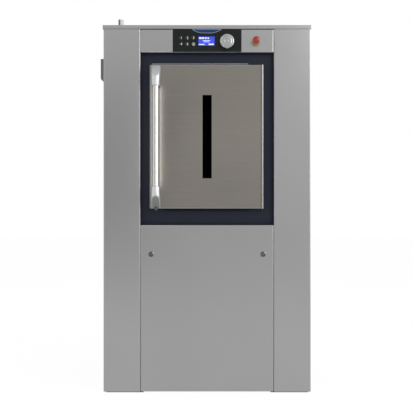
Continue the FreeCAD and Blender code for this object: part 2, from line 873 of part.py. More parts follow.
def suspension_cradle():
    """Two side plates that hold the bearings, joined by bars and the motor tray, on four feet."""
    foot_top = cradle_foot_z + cradle_plate
    plate_high = axis_z + cradle_top_half
    profile = [V(plate_inner, -cradle_top_half, plate_high), V(plate_inner, cradle_top_half, plate_high),
               V(plate_inner, cradle_foot_half, foot_top), V(plate_inner, cradle_foot_half, cradle_foot_z),
               V(plate_inner, -cradle_foot_half, cradle_foot_z), V(plate_inner, -cradle_foot_half, foot_top)]
    plate = Part.Face(Part.makePolygon(profile + profile[:1])).extrude(V(cradle_plate, 0, 0))
    plate = plate.cut(rod_x(shaft_radius + shaft_hole_clearance, plate_inner - 1, plate_outer + 1))
    window_low = tray_top + 2 * motor_radius + 2 * motor_foot
    plate = plate.cut(box(plate_inner - 1, plate_outer + 1, -cradle_window_half, cradle_window_half,
                          window_low, window_low + cradle_window_height))
    side = [plate]
    for near, far in ((-cradle_foot_half, -cradle_foot_inner), (cradle_foot_inner, cradle_foot_half)):
        side.append(box(plate_inner, cradle_foot_outer, near, far, cradle_foot_z, foot_top))
    pieces = side + [mirrored(piece) for piece in side]
    for near in (-cradle_foot_half, cradle_foot_half - cradle_bar):
        pieces.append(box(-plate_inner, plate_inner, near, near + cradle_bar,
                          cradle_foot_z, cradle_foot_z + cradle_bar))
    tray = box(-plate_inner, plate_inner, -tray_half, tray_half, tray_top - cradle_plate, tray_top)
    pipe_hole = drain_pipe_radius + shaft_hole_clearance
    tray = tray.cut(rod(pipe_hole, V(drain_x, 0, tray_top - 2 * cradle_plate), V(drain_x, 0, tray_top + 1)))
    shaft_hole = motor_shaft_radius + shaft_hole_clearance
    return fused(pieces + [tray]).cut(rod_x(shaft_hole, -plate_outer - 1, 1 - plate_inner, 0, motor_z))


def motor():
    near = -plate_inner + motor_end_gap
    far = near + motor_length
    body = rounded(rod_x(motor_radius, near, far, 0, motor_z), bend, lambda b: b.XLength < bend)
    foot = box(near + motor_foot, far - motor_foot, -motor_foot_half, motor_foot_half,
               tray_top, motor_z - motor_radius / 2)
    bore = rod_x(motor_shaft_radius + motor_shaft_clearance, near - 1, near + motor_shaft_depth, 0, motor_z)
    return fused([body, foot]).cut(bore)


def motor_pulley():
    disc = rod_x(motor_pulley_radius, -pulley_far, -pulley_near, 0, motor_z)
    shaft_end = -plate_inner + motor_end_gap + motor_shaft_depth
    return fused([disc, rod_x(motor_shaft_radius, -pulley_far, shaft_end, 0, motor_z)])


def belt_face(grow, x):
    """Outline of a band round both pulleys, as a face across the belt."""
    big = pulley_radius + grow
    small = motor_pulley_radius + grow
    lean = math.asin((big - small) / motor_drop)
    across = math.cos(lean)
    down = math.sin(lean)
    big_back = V(x, big * across, axis_z - big * down)
    big_front = V(x, -big * across, axis_z - big * down)
    small_back = V(x, small * across, motor_z - small * down)
    small_front = V(x, -small * across, motor_z - small * down)
    edges = [Part.Arc(big_back, V(x, 0, axis_z + big), big_front), Part.LineSegment(big_front, small_front),
             Part.Arc(small_front, V(x, 0, motor_z - small), small_back),
             Part.LineSegment(small_back, big_back)]
    return Part.Face(Part.Wire([edge.toShape() for edge in edges]))


def drive_belt():
    near = -pulley_far + belt_side
    width = V(pulley_width - 2 * belt_side, 0, 0)
    outer = belt_face(belt_clearance + belt_thick, near).extrude(width)
    return outer.cut(belt_face(belt_clearance, near).extrude(width))


def drain_valve():
    """Valve body under the sump with the pipe that leads down to the floor drain."""
    low = sump_bottom - drain_body_length
    body = rod(drain_body_radius, V(drain_x, 0, low), V(drain_x, 0, sump_bottom))
    pipe = rod(drain_pipe_radius, V(drain_x, 0, drain_pipe_end), V(drain_x, 0, sump_bottom))
    bead_low = drain_pipe_end + drain_spigot
    bead = rod(drain_bead_radius, V(drain_x, 0, bead_low), V(drain_x, 0, bead_low + drain_bead))
    bore = rod(drain_bore, V(drain_x, 0, drain_pipe_end - 1), V(drain_x, 0, sump_bottom + 1))
    return fused([body, pipe, bead]).cut(bore)


def coil_spring():
    """Helical spring between the base beam and a cradle foot, in quarter-turn arcs."""
    low = beam_top + spring_wire + spring_clearance
    rise = cradle_foot_z - spring_wire - spring_clearance - low
    def point(turn):
        angle = 2 * math.pi * turn
        return V(spring_x + spring_radius * math.cos(angle), spring_y + spring_radius * math.sin(angle),
                 low + rise * turn / spring_turns)
    arcs = []
    for quarter in range(4 * spring_turns):
        start = quarter / 4
        arcs.append(Part.Arc(point(start), point(start + 0.125), point(start + 0.25)).toShape())
    path = Part.Wire(arcs)
    section = Part.Wire(Part.makeCircle(spring_wire, point(0), V(0, 1, 0)))
    return path.makePipeShell([section], True, False)


def four_corners(shape):
    pair = [shape, mirrored(shape)]
    return Part.makeCompound(pair + [turned(piece) for piece in pair])


def damper_cylinder():
    top = beam_top + damper_length
    def at(z):
        return V(spring_x, damper_y, z)
    tube = rod(damper_radius, at(beam_top), at(top))
    tube = tube.cut(rod(damper_bore, at(beam_top + damper_cap), at(top - damper_cap)))
    return tube.cut(rod(damper_rod_radius + damper_rod_clearance, at(top - damper_cap - 1), at(top + 1)))


def damper_rod():
    start = beam_top + damper_length * (1 - damper_overlap_share)
    return rod(damper_rod_radius, V(spring_x, damper_y, start), V(spring_x, damper_y, cradle_foot_z))


# Drum

def drum_shell():
    inner_half = drum_half - drum_end_sheet
    shell = rod_x(drum_radius, -drum_half, drum_half)
    shell = shell.cut(rod_x(drum_radius - drum_sheet, -inner_half, inner_half))
    shell = shell.cut(sector(drum_radius - lifter_height, drum_radius + 1,
                             -hatch_half_length, hatch_half_length, -hatch_half_angle, hatch_half_angle))
    rail_near = hatch_half_length + shutter_lap + rail_gap
    reach = hatch_half_angle + shutter_lap_angle + rail_run_out
    rail = sector(drum_radius - drum_sheet / 2, drum_radius + rail_height, rail_near, rail_near + rail_width,
                  -reach, reach + shutter_travel)
    return fused([shell, rail, mirrored(rail)])


def drum_lifters():
    """Three hollow ribs inside the drum, a third of a turn apart, with the hatch between two of them."""
    half = drum_half - drum_end_sheet
    inside = rod_x(drum_radius - drum_sheet, -half, half)
    top = drum_radius - drum_sheet - lifter_height
    def rib_block(wall):
        base_half = lifter_width / 2 - wall
        top_half = lifter_top / 2 - wall / 2
        x = wall - half
        low = axis_z + top + wall
        high = axis_z + drum_radius
        corners = [V(x, -base_half, high), V(x, base_half, high), V(x, top_half, low), V(x, -top_half, low)]
        return Part.Face(Part.makePolygon(corners + corners[:1])).extrude(V(2 * (half - wall), 0, 0))
    rib = rib_block(0).common(inside).cut(rib_block(lifter_sheet))
    ribs = []
    for number in range(lifter_count):
        turned_rib = rib.copy()
        turned_rib.rotate(V(0, 0, axis_z), V(-1, 0, 0), 180 / lifter_count - 90 + 360 * number / lifter_count)
        ribs.append(turned_rib)
    return Part.makeCompound(ribs)


def drum_shaft(length):
    return fused([rod_x(shaft_flange_radius, drum_half, drum_half + shaft_flange),
                  rod_x(shaft_radius, drum_half, length)])


def drum_shafts():
    return Part.makeCompound([drum_shaft(housing_end), mirrored(drum_shaft(pulley_far))])


def drum_pulley():
    middle = (pulley_near + pulley_far) / 2
    rim = rod_x(pulley_radius, pulley_near, pulley_far)
    rim = rim.cut(rod_x(pulley_radius - pulley_rim, pulley_near - 1, pulley_far + 1))
    web = rod_x(pulley_radius - pulley_rim / 2, middle - pulley_web / 2, middle + pulley_web / 2)
    wheel = fused([rim, web, rod_x(pulley_hub_radius, pulley_near, pulley_far)])
    for number in range(pulley_hole_count):
        angle = 2 * math.pi * number / pulley_hole_count
        y = pulley_hole_circle * math.cos(angle)
        z = axis_z + pulley_hole_circle * math.sin(angle)
        wheel = wheel.cut(rod_x(pulley_hole_radius, pulley_near, pulley_far, y, z))
    return mirrored(wheel.cut(rod_x(shaft_radius, pulley_near - 1, pulley_far + 1)))


def drum_shutter():
    """Curved plate over the hatch that slides up round the drum between its rails."""
    half_angle = hatch_half_angle + shutter_lap_angle
    half_length = hatch_half_length + shutter_lap
    plate = sector(shutter_inner, shutter_outer, -half_length, half_length, -half_angle, half_angle)
    grip = sector(shutter_inner, shutter_outer + grip_height, -grip_length / 2, grip_length / 2,
                  -half_angle + grip_angle, -half_angle + 2 * grip_angle)
    return fused([plate, grip])


# Services

def water_inlet_pipe():
    def at(z):
        return V(inlet_x, inlet_y, z)
    top = body_height + inlet_above
    low = body_height - inlet_below
    pipe = fused([rod(inlet_radius, at(low), at(top)),
                  rod(inlet_flange_radius, at(body_height), at(body_height + inlet_flange))])
    return pipe.cut(rod(inlet_bore, at(low - 1), at(top + 1)))


def inlet_valve():
    high = body_height - inlet_below
    half = valve_side / 2
    block = box(inlet_x - half, inlet_x + half, inlet_y - half, inlet_y + half, high - valve_height, high)
    middle = high - valve_height / 2
    coil = rod(valve_coil_radius, V(inlet_x, inlet_y, middle),
               V(inlet_x, inlet_y + half + valve_coil_length, middle))
    return fused([block, coil])


def side_terminal_box():
    near = -half_width
    far = near - terminal_proud
    y0 = front + terminal_setback
    top = terminal_bottom + terminal_height
    outline = [V(near, y0, terminal_bottom), V(near, y0, top), V(far, y0, top),
               V(far, y0, terminal_bottom + terminal_chamfer),
               V(far + terminal_chamfer, y0, terminal_bottom)]
    case = Part.Face(Part.makePolygon(outline + outline[:1])).extrude(V(0, terminal_depth, 0))
    pieces = [case]
    middle_y = y0 + terminal_depth / 2
    middle_z = (terminal_bottom + top) / 2
    for side in (-0.5, 0.5):
        z = middle_z + side * terminal_screw_pitch
        tip = far - terminal_screw_head
        pieces.append(rod(terminal_screw_radius, V(far, middle_y, z), V(tip, middle_y, z)))
    return Part.makeCompound(pieces)


def with_rear(shape):
    return Part.makeCompound([shape, turned(shape)])


nodes = {
    "base_frame": base_frame(),
    "side_panels": side_panels(),
    "top_cover": top_cover(),
    "front_right_column": right_column(),
    "front_left_column": mirrored(right_column()),
    "rear_columns": turned(both_sides(right_column())),
    "front_service_panel": service_panel(True),
    "rear_service_panel": turned(service_panel(False)),
    "front_control_panel": control_panel(True),
    "rear_control_panel": turned(control_panel(False)),
    "front_door_frame": door_frame(),
    "rear_door_frame": turned(door_frame()),
    "control_fascia": control_fascia(),
    "display_module": display_module(),
    "control_board": control_board(),
    "estop_collars": with_rear(estop_collar()),
    "front_estop_head": estop_head(),
    "rear_estop_head": turned(estop_head()),
    "program_knob": program_knob(),
    "left_panel_lock": panel_lock(-1),
    "right_panel_lock": panel_lock(1),
    "hinge_stiles": with_rear(Part.makeCompound([hinge_stile(), hinge_pin()])),
    "lock_bodies": with_rear(lock_body()),
    "front_lock_bolt": lock_bolt(),
    "rear_lock_bolt": turned(lock_bolt()),
    "front_door_skin": door_skin(),
    "front_door_liner": door_liner(),
    "front_door_window": door_window(),
    "front_handle_tube": handle_tube(),
    "front_handle_brackets": Part.makeCompound([upper_bracket(), lower_bracket()]),
    "rear_door_skin": turned(door_skin()),
    "rear_door_liner": turned(door_liner()),
    "rear_door_window": turned(door_window()),
    "rear_handle": turned(Part.makeCompound([handle_tube(), upper_bracket(), lower_bracket()])),
    "tub_shell": tub_shell(),
    "tub_ends": both_sides(tub_end()),
    "mouth_bellows": with_rear(bellows()),
    "bearing_units": both_sides(bearing_unit()),
    "suspension_cradle": suspension_cradle(),
    "motor": motor(),
    "motor_pulley": motor_pulley(),
    "drive_belt": drive_belt(),
    "drain_valve": drain_valve(),
    "suspension_springs": four_corners(coil_spring()),
    "damper_cylinders": four_corners(damper_cylinder()),
    "damper_rods": four_corners(damper_rod()),
    "drum_shell": drum_shell(),
    "drum_lifters": drum_lifters(),
    "drum_shafts": drum_shafts(),
    "drum_pulley": drum_pulley(),
    "drum_shutter": drum_shutter(),
    "water_inlet_pipe": water_inlet_pipe(),
    "inlet_valve": inlet_valve(),
    "side_terminal_box": side_terminal_box(),
}
for number, (x, z) in enumerate(key_places(), start=1):
    nodes["program_key_%d" % number] = program_key(x, z)

os.makedirs("parts", exist_ok=True)
for name, shape in nodes.items():
    shape.exportStep("parts/%s.step" % name)
    print(name, len(shape.Solids), "solids", round(shape.Volume / 1000.0, 1), "cm3", shape.isValid())
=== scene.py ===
import math

import bmesh
import bpy
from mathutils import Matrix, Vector


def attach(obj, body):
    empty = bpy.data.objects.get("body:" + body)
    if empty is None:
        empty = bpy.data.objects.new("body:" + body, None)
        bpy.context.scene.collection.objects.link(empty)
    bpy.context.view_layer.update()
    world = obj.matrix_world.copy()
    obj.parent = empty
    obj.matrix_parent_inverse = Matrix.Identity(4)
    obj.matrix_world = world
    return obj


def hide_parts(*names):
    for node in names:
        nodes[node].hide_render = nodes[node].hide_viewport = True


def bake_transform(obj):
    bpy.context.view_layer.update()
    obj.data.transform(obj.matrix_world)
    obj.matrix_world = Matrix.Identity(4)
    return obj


# Barrier washer for a wall between two rooms, dressed round its CAD frame.
# Metres, +X right, +Y from the loading side to the unloading side, +Z up.
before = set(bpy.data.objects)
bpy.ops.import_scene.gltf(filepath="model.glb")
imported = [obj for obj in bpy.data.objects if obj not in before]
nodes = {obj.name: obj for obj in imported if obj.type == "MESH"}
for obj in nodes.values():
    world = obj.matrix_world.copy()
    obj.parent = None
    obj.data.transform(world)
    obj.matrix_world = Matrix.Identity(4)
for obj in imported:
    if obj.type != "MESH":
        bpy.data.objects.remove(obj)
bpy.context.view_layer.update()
bpy.ops.object.select_all(action="DESELECT")


# Cabinet sheets: cover, corner columns, service panels, control strips and sides.
# Folded from satin stainless sheet, 1.5 mm, with rolled 5 mm bends; hung on the base frame.
def linear(hex_colour):
    """Turns an sRGB hex colour to linear light."""
    values = []
    for place in (1, 3, 5):
        share = int(hex_colour[place:place + 2], 16) / 255
        values.append(share / 12.92 if share <= 0.04045 else ((share + 0.055) / 1.055) ** 2.4)
    return (*values, 1.0)


def add_node(tree, kind, values=(), links=(), **settings):
    """Adds a node with its settings, its sockets' values and its links."""
    made = tree.nodes.new(kind)
    for name, value in settings.items():
        setattr(made, name, value)
    for socket, value in dict(values).items():
        made.inputs[socket].default_value = value
    for socket, source in dict(links).items():
        tree.links.new(source, made.inputs[socket])
    return made


def new_material(name, metallic):
    """A material of its own, with its nodes and the piece's coordinates."""
    material = bpy.data.materials.new(name)
    material.use_nodes = True
    tree = material.node_tree
    tree.nodes["Principled BSDF"].inputs["Metallic"].default_value = metallic
    return material, tree, add_node(tree, "ShaderNodeTexCoord")


def shade(tree, tint, relief, dark, pale, roughness, play, bump_strength, bump_height):
    """Takes the colour from one pattern, and the polish and the relief from another."""
    shader = tree.nodes["Principled BSDF"]
    tone = add_node(tree, "ShaderNodeValToRGB", (), {"Fac": tint})
    for end, position, colour in zip(tone.color_ramp.elements, (0.3, 0.7), (dark, pale)):
        end.position = position
        end.color = linear(colour)
    tree.links.new(tone.outputs["Color"], shader.inputs["Base Color"])
    polish = add_node(tree, "ShaderNodeMapRange", {"To Min": roughness - play, "To Max": roughness + play},
                      {"Value": relief})
    tree.links.new(polish.outputs["Result"], shader.inputs["Roughness"])
    bump = add_node(tree, "ShaderNodeBump", {"Strength": bump_strength, "Distance": bump_height},
                    {"Height": relief})
    tree.links.new(bump.outputs["Normal"], shader.inputs["Normal"])


def grained_sheet(name, dark, pale, grain_lines, metallic, roughness, bump_height):
    """Sheet metal with a one-way grain, given in lines to the metre along X, Y and Z."""
    material, tree, place = new_material(name, metallic)
    mapped = add_node(tree, "ShaderNodeMapping", {"Scale": grain_lines}, {"Vector": place.outputs["Object"]})
    grain = add_node(tree, "ShaderNodeTexNoise", {"Scale": 1.0, "Detail": 4.0, "Roughness": 0.6},
                     {"Vector": mapped.outputs["Vector"]})
    cloud = add_node(tree, "ShaderNodeTexNoise", {"Scale": 2.2, "Detail": 2.0, "Roughness": 0.5},
                     {"Vector": place.outputs["Object"]})
    both = add_node(tree, "ShaderNodeMix", {"Factor": 0.45},
                    {"A": grain.outputs["Fac"], "B": cloud.outputs["Fac"]}, data_type="FLOAT")
    play, bump_strength = 0.03, 0.06
    shade(tree, both.outputs["Result"], grain.outputs["Fac"], dark, pale, roughness, play, bump_strength,
          bump_height)
    return material


def dress(material, *names):
    """Gives a CAD node its material."""
    for name in names:
        nodes[name].data.materials.clear()
        nodes[name].data.materials.append(material)


# Satin sheet is a blurred mirror with faint upright streaks; the flat panels are a shade darker.
# Its lines are 0.1 mm apart, too fine to show, so they are drawn 2.5 mm apart: 400 to the metre.
satin_lines = (400, 400, 6)
satin_stainless = grained_sheet("satin_stainless_sheet", "#9d9d9d", "#a3a3a3", satin_lines, 0.85, 0.26,
                                0.0002)
dress(satin_stainless, "side_panels", "front_right_column", "front_left_column", "rear_columns")
panel_stainless = grained_sheet("satin_stainless_panel", "#9b9b9b", "#a1a1a1", satin_lines, 0.85, 0.26,
                                0.0002)
dress(panel_stainless, "top_cover", "front_service_panel", "rear_service_panel", "front_control_panel",
      "rear_control_panel")


# Base frame: two folded beams on floor plates, with posts and rails of square tube.
# Welded mild steel under grey primer, which is flat and matt; the plates show under the columns.
def plain_finish(name, dark, pale, size_mm, metallic, roughness, bump_mm, gloss=0.5):
    """Paint, moulding or casting: an even colour with a mottle, drawn a few millimetres wide to show."""
    material, tree, place = new_material(name, metallic)
    tree.nodes["Principled BSDF"].inputs["Specular IOR Level"].default_value = gloss
    mottle = add_node(tree, "ShaderNodeTexNoise", {"Scale": 1000 / size_mm, "Detail": 3.0, "Roughness": 0.55},
                      {"Vector": place.outputs["Object"]})
    play, bump_strength = 0.04, 0.3
    shade(tree, mottle.outputs["Fac"], mottle.outputs["Fac"], dark, pale, roughness, play, bump_strength,
          bump_mm / 1000)
    return material


dress(plain_finish("grey_primer", "#5a5c5e", "#6a6c6d", 6, 0.0, 0.6, 0.05), "base_frame")

# Door frames: the navy recess round each mouth, a folded 2 mm plate set 24 mm back.
# Powder-coated steel: satin, with the slight orange peel of the baked powder.
dress(plain_finish("navy_powder_coat", "#191c29", "#202535", 5, 0.0, 0.45, 0.04, 0.2),
      "front_door_frame", "rear_door_frame")

# Doors: a folded outer skin with the hinge leaf on its edge, hung on a full-length hinge.
# Stainless sheet brushed across, so that fine level lines show and the handle mirrors softly in it.
# Brush lines are 0.1 mm apart, too fine to show, so they are drawn 4 mm apart: 260 to the metre.
brushed_door = grained_sheet("brushed_stainless_door", "#7e7a75", "#8b867f", (4, 4, 260), 1.0, 0.17, 0.0002)
# The folded edges aren't brushed and are duller; away from the flat face they are painted a paler grey, a
# painted reflection of the bright sides that the bends face.
edge_grey, edge_roughness = "#939596", 0.42
tree = brushed_door.node_tree
shader = tree.nodes["Principled BSDF"]
geometry = add_node(tree, "ShaderNodeNewGeometry")
facing = add_node(tree, "ShaderNodeSeparateXYZ", (), {0: geometry.outputs["Normal"]})
flatness = add_node(tree, "ShaderNodeMath", (), {0: facing.outputs["Y"]}, operation="ABSOLUTE")
folded = add_node(tree, "ShaderNodeMapRange", {"From Min": 0.99, "From Max": 0.9},
                  {"Value": flatness.outputs[0]})
edged = add_node(tree, "ShaderNodeMix", {"B": linear(edge_grey)},
                 {"Factor": folded.outputs[0], "A": shader.inputs["Base Color"].links[0].from_socket},
                 data_type="RGBA")
tree.links.new(edged.outputs["Result"], shader.inputs["Base Color"])
dulled = add_node(tree, "ShaderNodeMix", {"B": edge_roughness},
                  {"Factor": folded.outputs[0], "A": shader.inputs["Roughness"].links[0].from_socket},
                  data_type="FLOAT")
tree.links.new(dulled.outputs["Result"], shader.inputs["Roughness"])
dress(brushed_door, "front_door_skin", "rear_door_skin", "hinge_stiles")

# Door liners: a shallow tray behind each skin, which closes on the bellows' lip.
# Pressed from pickled stainless sheet, which is pale and dull, with faint clouds 17 mm wide and no grain.
# It shows as a thin strip above the door and as its inner face.
liner_steel = grained_sheet("pickled_stainless", "#9b9b9e", "#a7a7aa", (60, 60, 60), 1.0, 0.45, 0.0001)
dress(liner_steel, "front_door_liner", "rear_door_liner")

# Door windows: a long narrow pane that lets the operator see whether the drum turns.
# Black-backed toughened glass, bonded into the skin and the liner: deep black, nearly without a gleam.
dress(plain_finish("black_door_glass", "#010101", "#020202", 80, 0.0, 0.08, 0.001, 0.0),
      "front_door_window", "rear_door_window")

# Door locks: a box behind each frame with a bolt that slides into the door's liner.
# Glass-filled moulding, matt and faintly mottled, with a bright ground steel bolt; screwed to the frame.
grey_moulding = plain_finish("grey_moulding", "#5c5e60", "#66686a", 5, 0.0, 0.5, 0.03)
ground_steel = plain_finish("ground_steel", "#a4a4a4", "#b0b0b0", 5, 1.0, 0.3, 0.01)
dress(grey_moulding, "lock_bodies")
dress(ground_steel, "front_lock_bolt", "rear_lock_bolt")

# Tub: the still outer vessel with a loading neck to each door, which holds the wash water.
# Rolled and welded from pickled stainless sheet, with pressed end plates.
dress(liner_steel, "tub_shell", "tub_ends")

# Cradle and bearings: the tub hangs in a welded cradle that also carries the drum's bearing units.
# Mild steel and cast iron under grey machine paint: dark, half matt and a little uneven.
dress(plain_finish("grey_machine_paint", "#4a4c4e", "#565859", 3, 0.0, 0.55, 0.1),
      "bearing_units", "suspension_cradle")

# Drive: a motor under the tub turns the drum by a belt from a small pulley to a large one.
# Cast alloy housing and drum pulley, dull and gritty; bright turned steel motor pulley and shafts;
# a belt of ribbed rubber, near black and matt.
dress(plain_finish("cast_motor_alloy", "#6f7274", "#7b7e80", 4, 1.0, 0.5, 0.05), "motor", "drum_pulley")
dress(ground_steel, "motor_pulley", "drum_shafts")
dress(plain_finish("ribbed_belt_rubber", "#0d0d0d", "#151515", 4, 0.0, 0.7, 0.05), "drive_belt")

# Damper rods: the sliding halves of the four dampers between base and cradle.
# Ground and plated steel, bright with a soft mirror.
dress(ground_steel, "damper_rods")

# Valves: the drain valve under the tub's sump and the inlet valve under the stub pipe.
# Moulded in matt grey plastic, clamped to their pipes.
dress(grey_moulding, "drain_valve", "inlet_valve")


# Pull handles: a 30 mm polished tube held in two cast brackets near the door's left edge.
# The brackets have a round nose, a sloping flat end and a groove round the tube, and are screwed on
# through the skin; the end of a stud shows below the lower one.
def start_edit():
    bpy.ops.object.mode_set(mode="EDIT")


def end_edit():
    bpy.ops.object.mode_set(mode="OBJECT")


def pick_all():
    bpy.ops.mesh.select_all(action="SELECT")


def pick(kind, test):
    """In edit mode, selects the verts, edges or faces that pass a test, and nothing else."""
    bpy.ops.mesh.select_mode(type=kind[:-1].upper())
    bpy.ops.mesh.select_all(action="DESELECT")
    shape = bmesh.from_edit_mesh(bpy.context.object.data)
    shape.normal_update()
    for element in getattr(shape, kind):
        if test(element):
            element.select_set(True)
    bmesh.update_edit_mesh(bpy.context.object.data)


def extrude(*shift):
    """Extrudes what is selected and moves it."""
    bpy.ops.mesh.extrude_region_move(TRANSFORM_OT_translate={"value": shift})


def swell(rise):
    """Extrudes the selected faces along their normals."""
    bpy.ops.mesh.extrude_region_shrink_fatten(TRANSFORM_OT_shrink_fatten={"value": rise})


def cut(point, direction, **ends):
    """Cuts the whole mesh along a plane."""
    pick_all()
    bpy.ops.mesh.bisect(plane_co=point, plane_no=direction, **ends)


def soften(width, steps=3, angle=40):
    """Rounds the sharp edges of the active piece."""
    bevel = bpy.context.object.modifiers.new("rounding", "BEVEL")
    bevel.width = width
    bevel.segments = steps
    bevel.limit_method = "ANGLE"
    bevel.angle_limit = math.radians(angle)
    bpy.ops.object.modifier_apply(modifier=bevel.name)


def join(pieces):
    """Makes one object of several, with the first one's name."""
    bpy.ops.object.select_all(action="DESELECT")
    for piece in pieces:
        piece.select_set(True)
    bpy.context.view_layer.objects.active = pieces[0]
    if len(pieces) > 1:
        bpy.ops.object.join()
    return pieces[0]


def seat(piece, name, body, slot, *replaced):
    """Names a finished piece, ties it to its body and hides the CAD nodes that it stands for; its finish slot
    is not used.
    """
    piece.name = name
    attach(piece, body)
    if replaced:
        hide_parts(*replaced)


def settle(piece, *materials, smooth=35):
    """Puts the piece's place in its mesh and gives it its finish."""
    join([piece])
    bpy.ops.object.transform_apply(location=True, rotation=True, scale=True)
    for material in materials:
        piece.data.materials.append(material)
    bpy.ops.object.shade_smooth_by_angle(angle=math.radians(smooth))


def copied(piece, shift=(0, 0, 0), turn=(0, 0, 0)):
    """A copy with its own mesh, turned about the origin and then moved."""
    join([piece])
    bpy.ops.object.duplicate()
    twin = bpy.context.object
    twin.location = Vector(twin.location) + Vector(shift)
    twin.rotation_euler = turn
    bpy.ops.object.transform_apply(location=True, rotation=True, scale=True)
    return twin


half_turn = (0, 0, math.pi)
handle_x, handle_y, door_middle = -0.256, -0.5375, 1.2865
door_front = -0.490
handle_half, bracket_length = 0.356, 0.105
tube_radius, tube_in_socket = 0.015, 0.020
ferrule_near, ferrule_far, ferrule_rise, ferrule_margin = 0.001, 0.006, 0.0008, 0.001
nose_radius, end_radius = 0.0185, 0.023
slope_rise, slope_tip, flat_rounding = 0.063, 0.008, 0.004
groove_wall, groove_depth, bracket_rounding = 0.0028, 0.003, 0.0016
hair = 0.0001

socket_mouth = handle_half - bracket_length
tube_half = socket_mouth + tube_in_socket
bpy.ops.mesh.primitive_cylinder_add(vertices=96, radius=tube_radius, depth=2 * tube_half,
                                    location=(handle_x, handle_y, door_middle))
tube = bpy.context.object
start_edit()
ferrule_low, ferrule_high = socket_mouth - ferrule_far, socket_mouth - ferrule_near
for height in (ferrule_low - ferrule_margin, ferrule_low, ferrule_high):
    for side in (-1, 1):
        cut((handle_x, handle_y, door_middle + side * height), (0, 0, 1))
pick("faces", lambda face: ferrule_low < abs(face.calc_center_median().z) < ferrule_high)
swell(ferrule_rise)
end_edit()
soften(0.0004, 2, 60)
# Polished stainless: a clear mirror that draws its light out to bright upright lines. The polishing
# marks are too fine to show, so they are drawn 3 mm apart.
polished_tube = grained_sheet("polished_stainless_tube", "#b2b2b1", "#b8b8b7", (300, 300, 4), 1.0, 0.15,
                              0.00001)
settle(tube, polished_tube)
rear_tube = copied(tube, turn=half_turn)
seat(tube, "front_handle_polished_tube", "front_door", "handle_steel", "front_handle_tube")
seat(rear_tube, "rear_handle_polished_tube", "rear_door", "handle_steel", "rear_handle")

bracket_middle = door_middle + handle_half - bracket_length / 2
bpy.ops.mesh.primitive_cylinder_add(vertices=64, radius=nose_radius, depth=bracket_length,
                                    location=(handle_x, handle_y, bracket_middle))
bracket = bpy.context.object
start_edit()
nose_axis = (handle_x, handle_y, bracket_middle)
pick("verts", lambda vert: vert.co.y > hair)
bpy.ops.transform.resize(value=(1, 0, 1), center_override=nose_axis)
bpy.ops.transform.translate(value=(0, door_front - handle_y, 0))
widening = end_radius / nose_radius
pick("verts", lambda vert: vert.co.z > 0)
bpy.ops.transform.resize(value=(widening, 1, 1), center_override=nose_axis)
pick("verts", lambda vert: vert.co.z > 0 and vert.co.y < -hair)
bpy.ops.transform.resize(value=(1, widening, 1), center_override=nose_axis)
slope_run = (door_front - slope_tip) - (handle_y - end_radius)
cut((handle_x, door_front - slope_tip, door_middle + handle_half), (0, -slope_rise, slope_run),
    use_fill=True, clear_outer=True)
pick("edges", lambda edge: any(face.normal.y < -0.6 and face.normal.z > 0.6 for face in edge.link_faces)
     and all(face.normal.z < 0.9 for face in edge.link_faces))
bpy.ops.mesh.bevel(offset=flat_rounding, segments=5, affect="EDGES")
pick("faces", lambda face: face.normal.z < -0.9)
bpy.ops.mesh.inset(thickness=groove_wall)
extrude(0, 0, groove_depth)
end_edit()
soften(bracket_rounding)
# Satin plating is pale with a soft sheen; the second finish, a flat darker grey, is painted shade.
plated_casting = plain_finish("satin_plated_casting", "#bcbdbf", "#c6c7c9", 12, 0.7, 0.42, 0.002, 0.4)
dull_casting = plain_finish("dull_casting_face", "#828581", "#8c8f8b", 8, 0.8, 0.45, 0.004, 0.3)
settle(bracket, plated_casting, dull_casting, smooth=30)
lower_bracket = copied(bracket, (2 * handle_x, 0, 2 * door_middle), (0, math.pi, 0))
# The lower bracket's sloping flat faces the floor and gets the darker grey as painted shade.
smallest_flat = 0.0004
start_edit()
pick("faces", lambda face: face.normal.z < -0.5 and face.normal.y < -0.5 and face.calc_area() > smallest_flat)
bpy.context.object.active_material_index = 1
bpy.ops.object.material_slot_assign()
end_edit()
stud_radius, stud_top, stud_end = 0.007, 0.9318, 0.9165
bpy.ops.mesh.primitive_cylinder_add(vertices=32, radius=stud_radius, depth=stud_top - stud_end,
                                    location=(handle_x, door_front - stud_radius, (stud_top + stud_end) / 2))
stud = bpy.context.object
soften(0.0015)
# Blackened steel: dark, with a low sheen.
settle(stud, plain_finish("blackened_steel_stud", "#4c4f4f", "#565959", 4, 0.8, 0.5, 0.005, 0.3))
brackets = join([bracket, lower_bracket, stud])
rear_brackets = copied(brackets, turn=half_turn)
seat(brackets, "front_handle_castings", "front_door", "bracket_metal", "front_handle_brackets")
seat(rear_brackets, "rear_handle_castings", "rear_door", "bracket_metal")


# Drip seals: black rubber pushed over the lower edge of each door's liner, so that water runs off.
# An extruded strip with a thin nose at its foot; its black without a gleam is also painted shadow for the
# dark gap under the door.
def block(left, right, front, back, low, high):
    """Adds a block between six planes."""
    middle = ((left + right) / 2, (front + back) / 2, (low + high) / 2)
    bpy.ops.mesh.primitive_cube_add(size=1, location=middle)
    made = bpy.context.object
    made.scale = (right - left, back - front, high - low)
    bpy.ops.object.transform_apply(location=False, rotation=False, scale=True)
    return made


black_rubber = plain_finish("black_extruded_rubber", "#070707", "#0c0c0c", 3, 0.0, 0.6, 0.02, 0.15)
strip_left, strip_right = -0.2095, 0.2125
strip_low, strip_high = 0.9185, 0.9320
strip_front, strip_back = -0.4645, -0.4488
strip_shoulder, strip_nose = 0.004, 0.0025
strip = block(strip_left, strip_right, strip_front, strip_back, strip_low, strip_high)
start_edit()
pick("faces", lambda face: face.normal.z < -0.9)
bpy.ops.mesh.inset(thickness=strip_shoulder)
extrude(0, 0, -strip_nose)
end_edit()
soften(0.0012, 2)
settle(strip, black_rubber)
rear_strip = copied(strip, turn=half_turn)
seat(strip, "front_drip_seal", "front_door", "bellows_rubber")
seat(rear_strip, "rear_drip_seal", "rear_door", "bellows_rubber")


